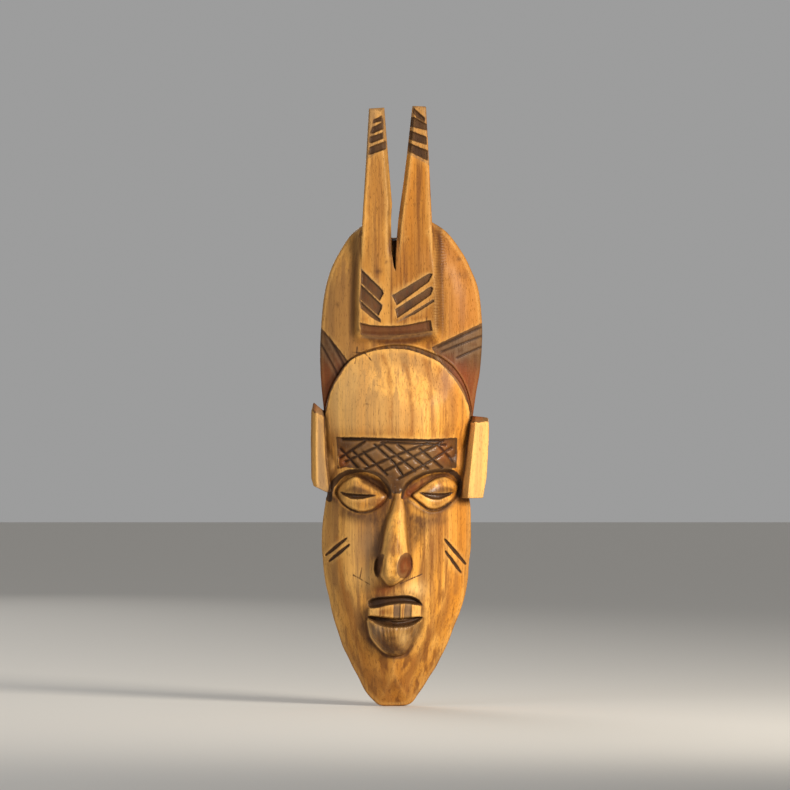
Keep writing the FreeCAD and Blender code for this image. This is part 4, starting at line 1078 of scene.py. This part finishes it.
def makeWood(look):
    n = Nodes("waxedWood")
    where = n.add("TexCoord").outputs["Object"]
    grainSpace = n.stretch(where, (1, 1, 0.035))
    # slow warps bend the growth rings, which lie round a pith behind the board
    warp = n.add("TexNoise", {"Vector": grainSpace, "Scale": 26.0, "Detail": 2.0}).outputs["Color"]
    warped = n.vector("SUBTRACT", warp, (0.5, 0.5, 0.5))
    warpedScaled = n.add("VectorMath", {0: warped, "Scale": 0.012}, operation="SCALE").outputs[0]
    moved = n.vector("ADD", where, warpedScaled)
    centred = n.vector("SUBTRACT", moved, look["pith"])
    flat = n.vector("MULTIPLY", centred, (1, 1, 0.03))
    radius = n.add("VectorMath", {0: flat}, operation="LENGTH").outputs["Value"]
    ringTurn = n.times(radius, 2 * math.pi / look["ringSpacing"])
    ring = n.span(n.math("SINE", ringTurn), -1, 1, smooth=False)
    bands = n.noise(grainSpace, 120.0, detail=4.0, rough=0.65)
    fine = n.noise(n.stretch(where, (1, 1, 0.018)), 620.0, detail=3.0, rough=0.65)
    poreMask = n.span(n.noise(n.stretch(where, (1, 1, 0.13)), 2300.0, detail=2.0, rough=0.5), 0.60, 0.70)
    fleckMask = n.span(n.noise(n.stretch(where, (1, 1, 0.2)), 620.0, detail=2.0), 0.64, 0.74)

    tone = n.mix(n.span(bands, 0.34, 0.66), look["light"], look["gold"])
    tone = n.tint(tone, n.span(ring, 0.50, 1.0), 0.58, look["streak"])
    broad = n.noise(grainSpace, 30.0, detail=2.0)
    tone = n.tint(tone, n.span(broad, 0.42, 0.64), 0.60, look["orange"])
    streaks = n.noise(n.stretch(where, (1, 1, 0.022)), 170.0, detail=3.0, rough=0.6)
    tone = n.tint(tone, n.span(streaks, 0.50, 0.63), 0.78, look["streak"])
    tone = n.tint(tone, n.span(fine, 0.47, 0.69), 0.62, look["streak"])
    tone = n.mix(n.times(n.attribute("headdressDarker"), look["headdressDarkerShare"]), tone, look["streak"])
    place = n.add("SeparateXYZ", {0: where})
    # painted light and shade: the left side is painted greyer as shade, the right side warmer as light, and
    # the foot darker as shade
    leftSide = n.span(place.outputs["X"], 0.008, -0.050)
    tone = n.tint(tone, leftSide, 0.50, look["grey"])
    rightSide = n.span(place.outputs["X"], 0.010, 0.050)
    tone = n.tint(tone, rightSide, 0.35, look["orange"])
    foot = n.span(place.outputs["Z"], -0.225, -0.300)
    tone = n.tint(tone, foot, 0.55, look["streak"])
    grainMasks = {"pore": poreMask, "fleck": fleckMask}
    for layer, share, colour in look["overWood"]:
        tone = n.tint(tone, grainMasks.get(layer) or n.attribute(layer), share, look[colour])

    blotchNoise = n.noise(n.stretch(where, (1, 1, 0.4)), 300.0, detail=4.0, rough=0.7)
    blotched = n.span(blotchNoise, 0.25, 0.65, 0.66, 1.1)
    smearAndShade = n.times(n.attribute("smearAndShade"), blotched, clamp=True)
    smearAndShadeTone = n.mix(n.times(n.attribute("red"), 0.7), look["smearAndShade"], look["red"])
    smearAndShadeTone = n.mix(n.times(n.attribute("ash"), 0.5), smearAndShadeTone, look["ash"])
    tone = n.mix(n.times(smearAndShade, 0.90), tone, smearAndShadeTone)

    # the dark stain, and the painted shade in the crack under the fork and the ear grooves: crisp at the
    # cuts, a little ragged where it ran into the grain
    grainEdge = n.noise(n.stretch(where, (1, 1, 0.25)), 420.0, detail=3.0)
    ragged = n.times(n.math("SUBTRACT", grainEdge, 0.5), 1.5)
    edge = n.plus(n.attribute("cut"), ragged)
    inCut = n.span(edge, 0.28, -0.30)
    patch = n.noise(n.stretch(where, (1, 1, 0.25)), 150.0, detail=3.0)
    darkTone = n.mix(n.span(patch, 0.35, 0.70), look["stainAndShade"], look["stainLow"])
    redShare = n.times(n.attribute("red"), n.span(patch, 0.3, 0.6, 0.6, 1.0))
    darkTone = n.mix(redShare, darkTone, look["red"])
    darkTone = n.tint(darkTone, n.attribute("ash"), 0.60, look["ash"])
    darkTone = n.tint(darkTone, n.span(fine, 0.45, 0.75), 0.45, look["stainLow"])
    darkTone = n.tint(darkTone, n.attribute("edge"), 0.35, look["rubbedStain"])
    darkTone = n.tint(darkTone, n.attribute("deep"), 0.90, look["black"])
    darkTone = n.mix(n.attribute("lattice"), darkTone, look["black"])
    colour = n.mix(n.times(inCut, 0.97), tone, darkTone)
    n.put(n.shader.inputs["Base Color"], colour)

    gloss = n.plus(look["gloss"], n.times(n.math("SUBTRACT", fine, 0.5), 0.35))
    gloss = n.plus(gloss, n.times(poreMask, 0.2))
    gloss = n.math("SUBTRACT", gloss, n.times(n.attribute("polish"), look["polished"]))
    gloss = n.plus(gloss, n.times(n.attribute("rear"), 0.25), clamp=True)
    n.put(n.shader.inputs["Roughness"], gloss)
    n.shader.inputs["Coat Weight"].default_value = look["coat"]
    n.shader.inputs["Coat Roughness"].default_value = look["coatRough"]
    n.shader.inputs["Specular IOR Level"].default_value = look["specular"]

    # open pores and the lines left by the knife, all running up the grain
    relief = n.times(poreMask, -0.6)
    relief = n.plus(relief, n.times(fine, 0.55))
    swells = n.noise(n.stretch(where, (1, 1, 0.3)), 130.0, detail=2.0)
    relief = n.plus(relief, n.times(swells, 0.9))
    chatter = n.noise(n.stretch(where, (0.6, 1, 2.2), (0, 0.5, 0)), 420.0, detail=2.0)
    relief = n.plus(relief, n.times(n.times(chatter, inCut), 0.8))
    bump = n.add("Bump", {"Strength": 0.65, "Distance": 0.00035, "Height": relief})
    n.put(n.shader.inputs["Normal"], bump)
    return n.material


steelLook = {
    "strap": {"colour": rgb(176, 172, 162), "worn": rgb(120, 114, 102), "rough": 0.38},
    "ring": {"colour": rgb(190, 188, 182), "worn": rgb(128, 122, 112), "rough": 0.30},
    "screw": {"colour": rgb(190, 158, 92), "worn": rgb(112, 90, 58), "rough": 0.34},
}


def makeMetal(name, look):
    n = Nodes(name)
    where = n.add("TexCoord").outputs["Object"]
    cloud = n.noise(where, 420.0, detail=4.0, rough=0.65)
    scratch = n.noise(n.stretch(where, (0.12, 1, 1), (0, 0.4, 0)), 2600.0, detail=2.0)
    rim = n.add("NewGeometry").outputs["Pointiness"]
    tarnish = n.plus(n.span(cloud, 0.48, 0.72), n.span(rim, 0.50, 0.44, 0.0, 0.4), clamp=True)
    n.put(n.shader.inputs["Base Color"], n.mix(n.times(tarnish, 0.7), look["colour"], look["worn"]))
    n.shader.inputs["Metallic"].default_value = 1.0
    rough = n.plus(look["rough"], n.times(cloud, 0.22))
    n.put(n.shader.inputs["Roughness"], n.plus(rough, n.times(scratch, 0.10)))
    n.put(n.shader.inputs["Normal"], n.add("Bump", {"Strength": 0.25, "Distance": 0.0001, "Height": scratch}))
    return n.material


carving.data.materials.clear()
carving.data.materials.append(makeWood(woodLook))
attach(carving, "mask")
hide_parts("mask_carving")

for node, look in (("hanger_strap", "strap"), ("hanger_ring", "ring"), ("hanger_screw_upper", "screw"),
    ("hanger_screw_lower", "screw")):
    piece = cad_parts[node]
    piece.data.materials.clear()
    piece.data.materials.append(makeMetal(look + "Metal", steelLook[look]))
report("materials made")

# floor and light

room = {
    "floor": rgb(214, 210, 203), "floorRough": 0.85, "floorHalf": 6.0, "lampsAimAt": (0, 0, -0.1),
    "sky": (0.80, 0.80, 0.80, 1.0), "skyStrength": 0.42,
    "key": {"at": (0.95, -1.1, 0.32), "size": 0.45, "power": 4.7, "spread": 70, "colour": (1.0, 0.93, 0.82)},
    "fill": {"at": (-1.1, -1.1, 0.25), "size": 1.0, "power": 4.0, "spread": 180, "colour": (0.94, 0.96, 1.0)},
    "behind": {"at": (-0.9, 2.4, 0.45), "size": 1.2, "power": 3.4, "spread": 60, "colour": (1.0, 0.97, 0.92)},
}


def makeRoom(setup):
    level = carvingLow[2]
    mesh = bpy.data.meshes.new("floor")
    side = setup["floorHalf"]
    corners = [(-side, -side, level), (side, -side, level), (side, side, level), (-side, side, level)]
    mesh.from_pydata(corners, [], [(0, 1, 2, 3)])
    floor = bpy.data.objects.new("floor", mesh)
    bpy.context.collection.objects.link(floor)
    n = Nodes("floorPaint")
    n.shader.inputs["Base Color"].default_value = setup["floor"]
    n.shader.inputs["Roughness"].default_value = setup["floorRough"]
    mesh.materials.append(n.material)
    world = bpy.data.worlds.new("room")
    world.use_nodes = True
    world.node_tree.nodes["Background"].inputs["Color"].default_value = setup["sky"]
    world.node_tree.nodes["Background"].inputs["Strength"].default_value = setup["skyStrength"]
    bpy.context.scene.world = world
    for name in ("key", "fill", "behind"):
        lamp = setup[name]
        data = bpy.data.lights.new(name, "AREA")
        data.size = lamp["size"]
        data.energy = lamp["power"]
        data.color = lamp["colour"]
        data.spread = math.radians(lamp["spread"])
        light = bpy.data.objects.new(name, data)
        bpy.context.collection.objects.link(light)
        light.location = lamp["at"]
        aim = Vector(setup["lampsAimAt"]) - Vector(lamp["at"])
        light.rotation_euler = aim.to_track_quat("-Z", "Y").to_euler()


makeRoom(room)
bpy.context.scene.view_settings.view_transform = "Standard"      # keeps the wax's warm colour
report("room lit")
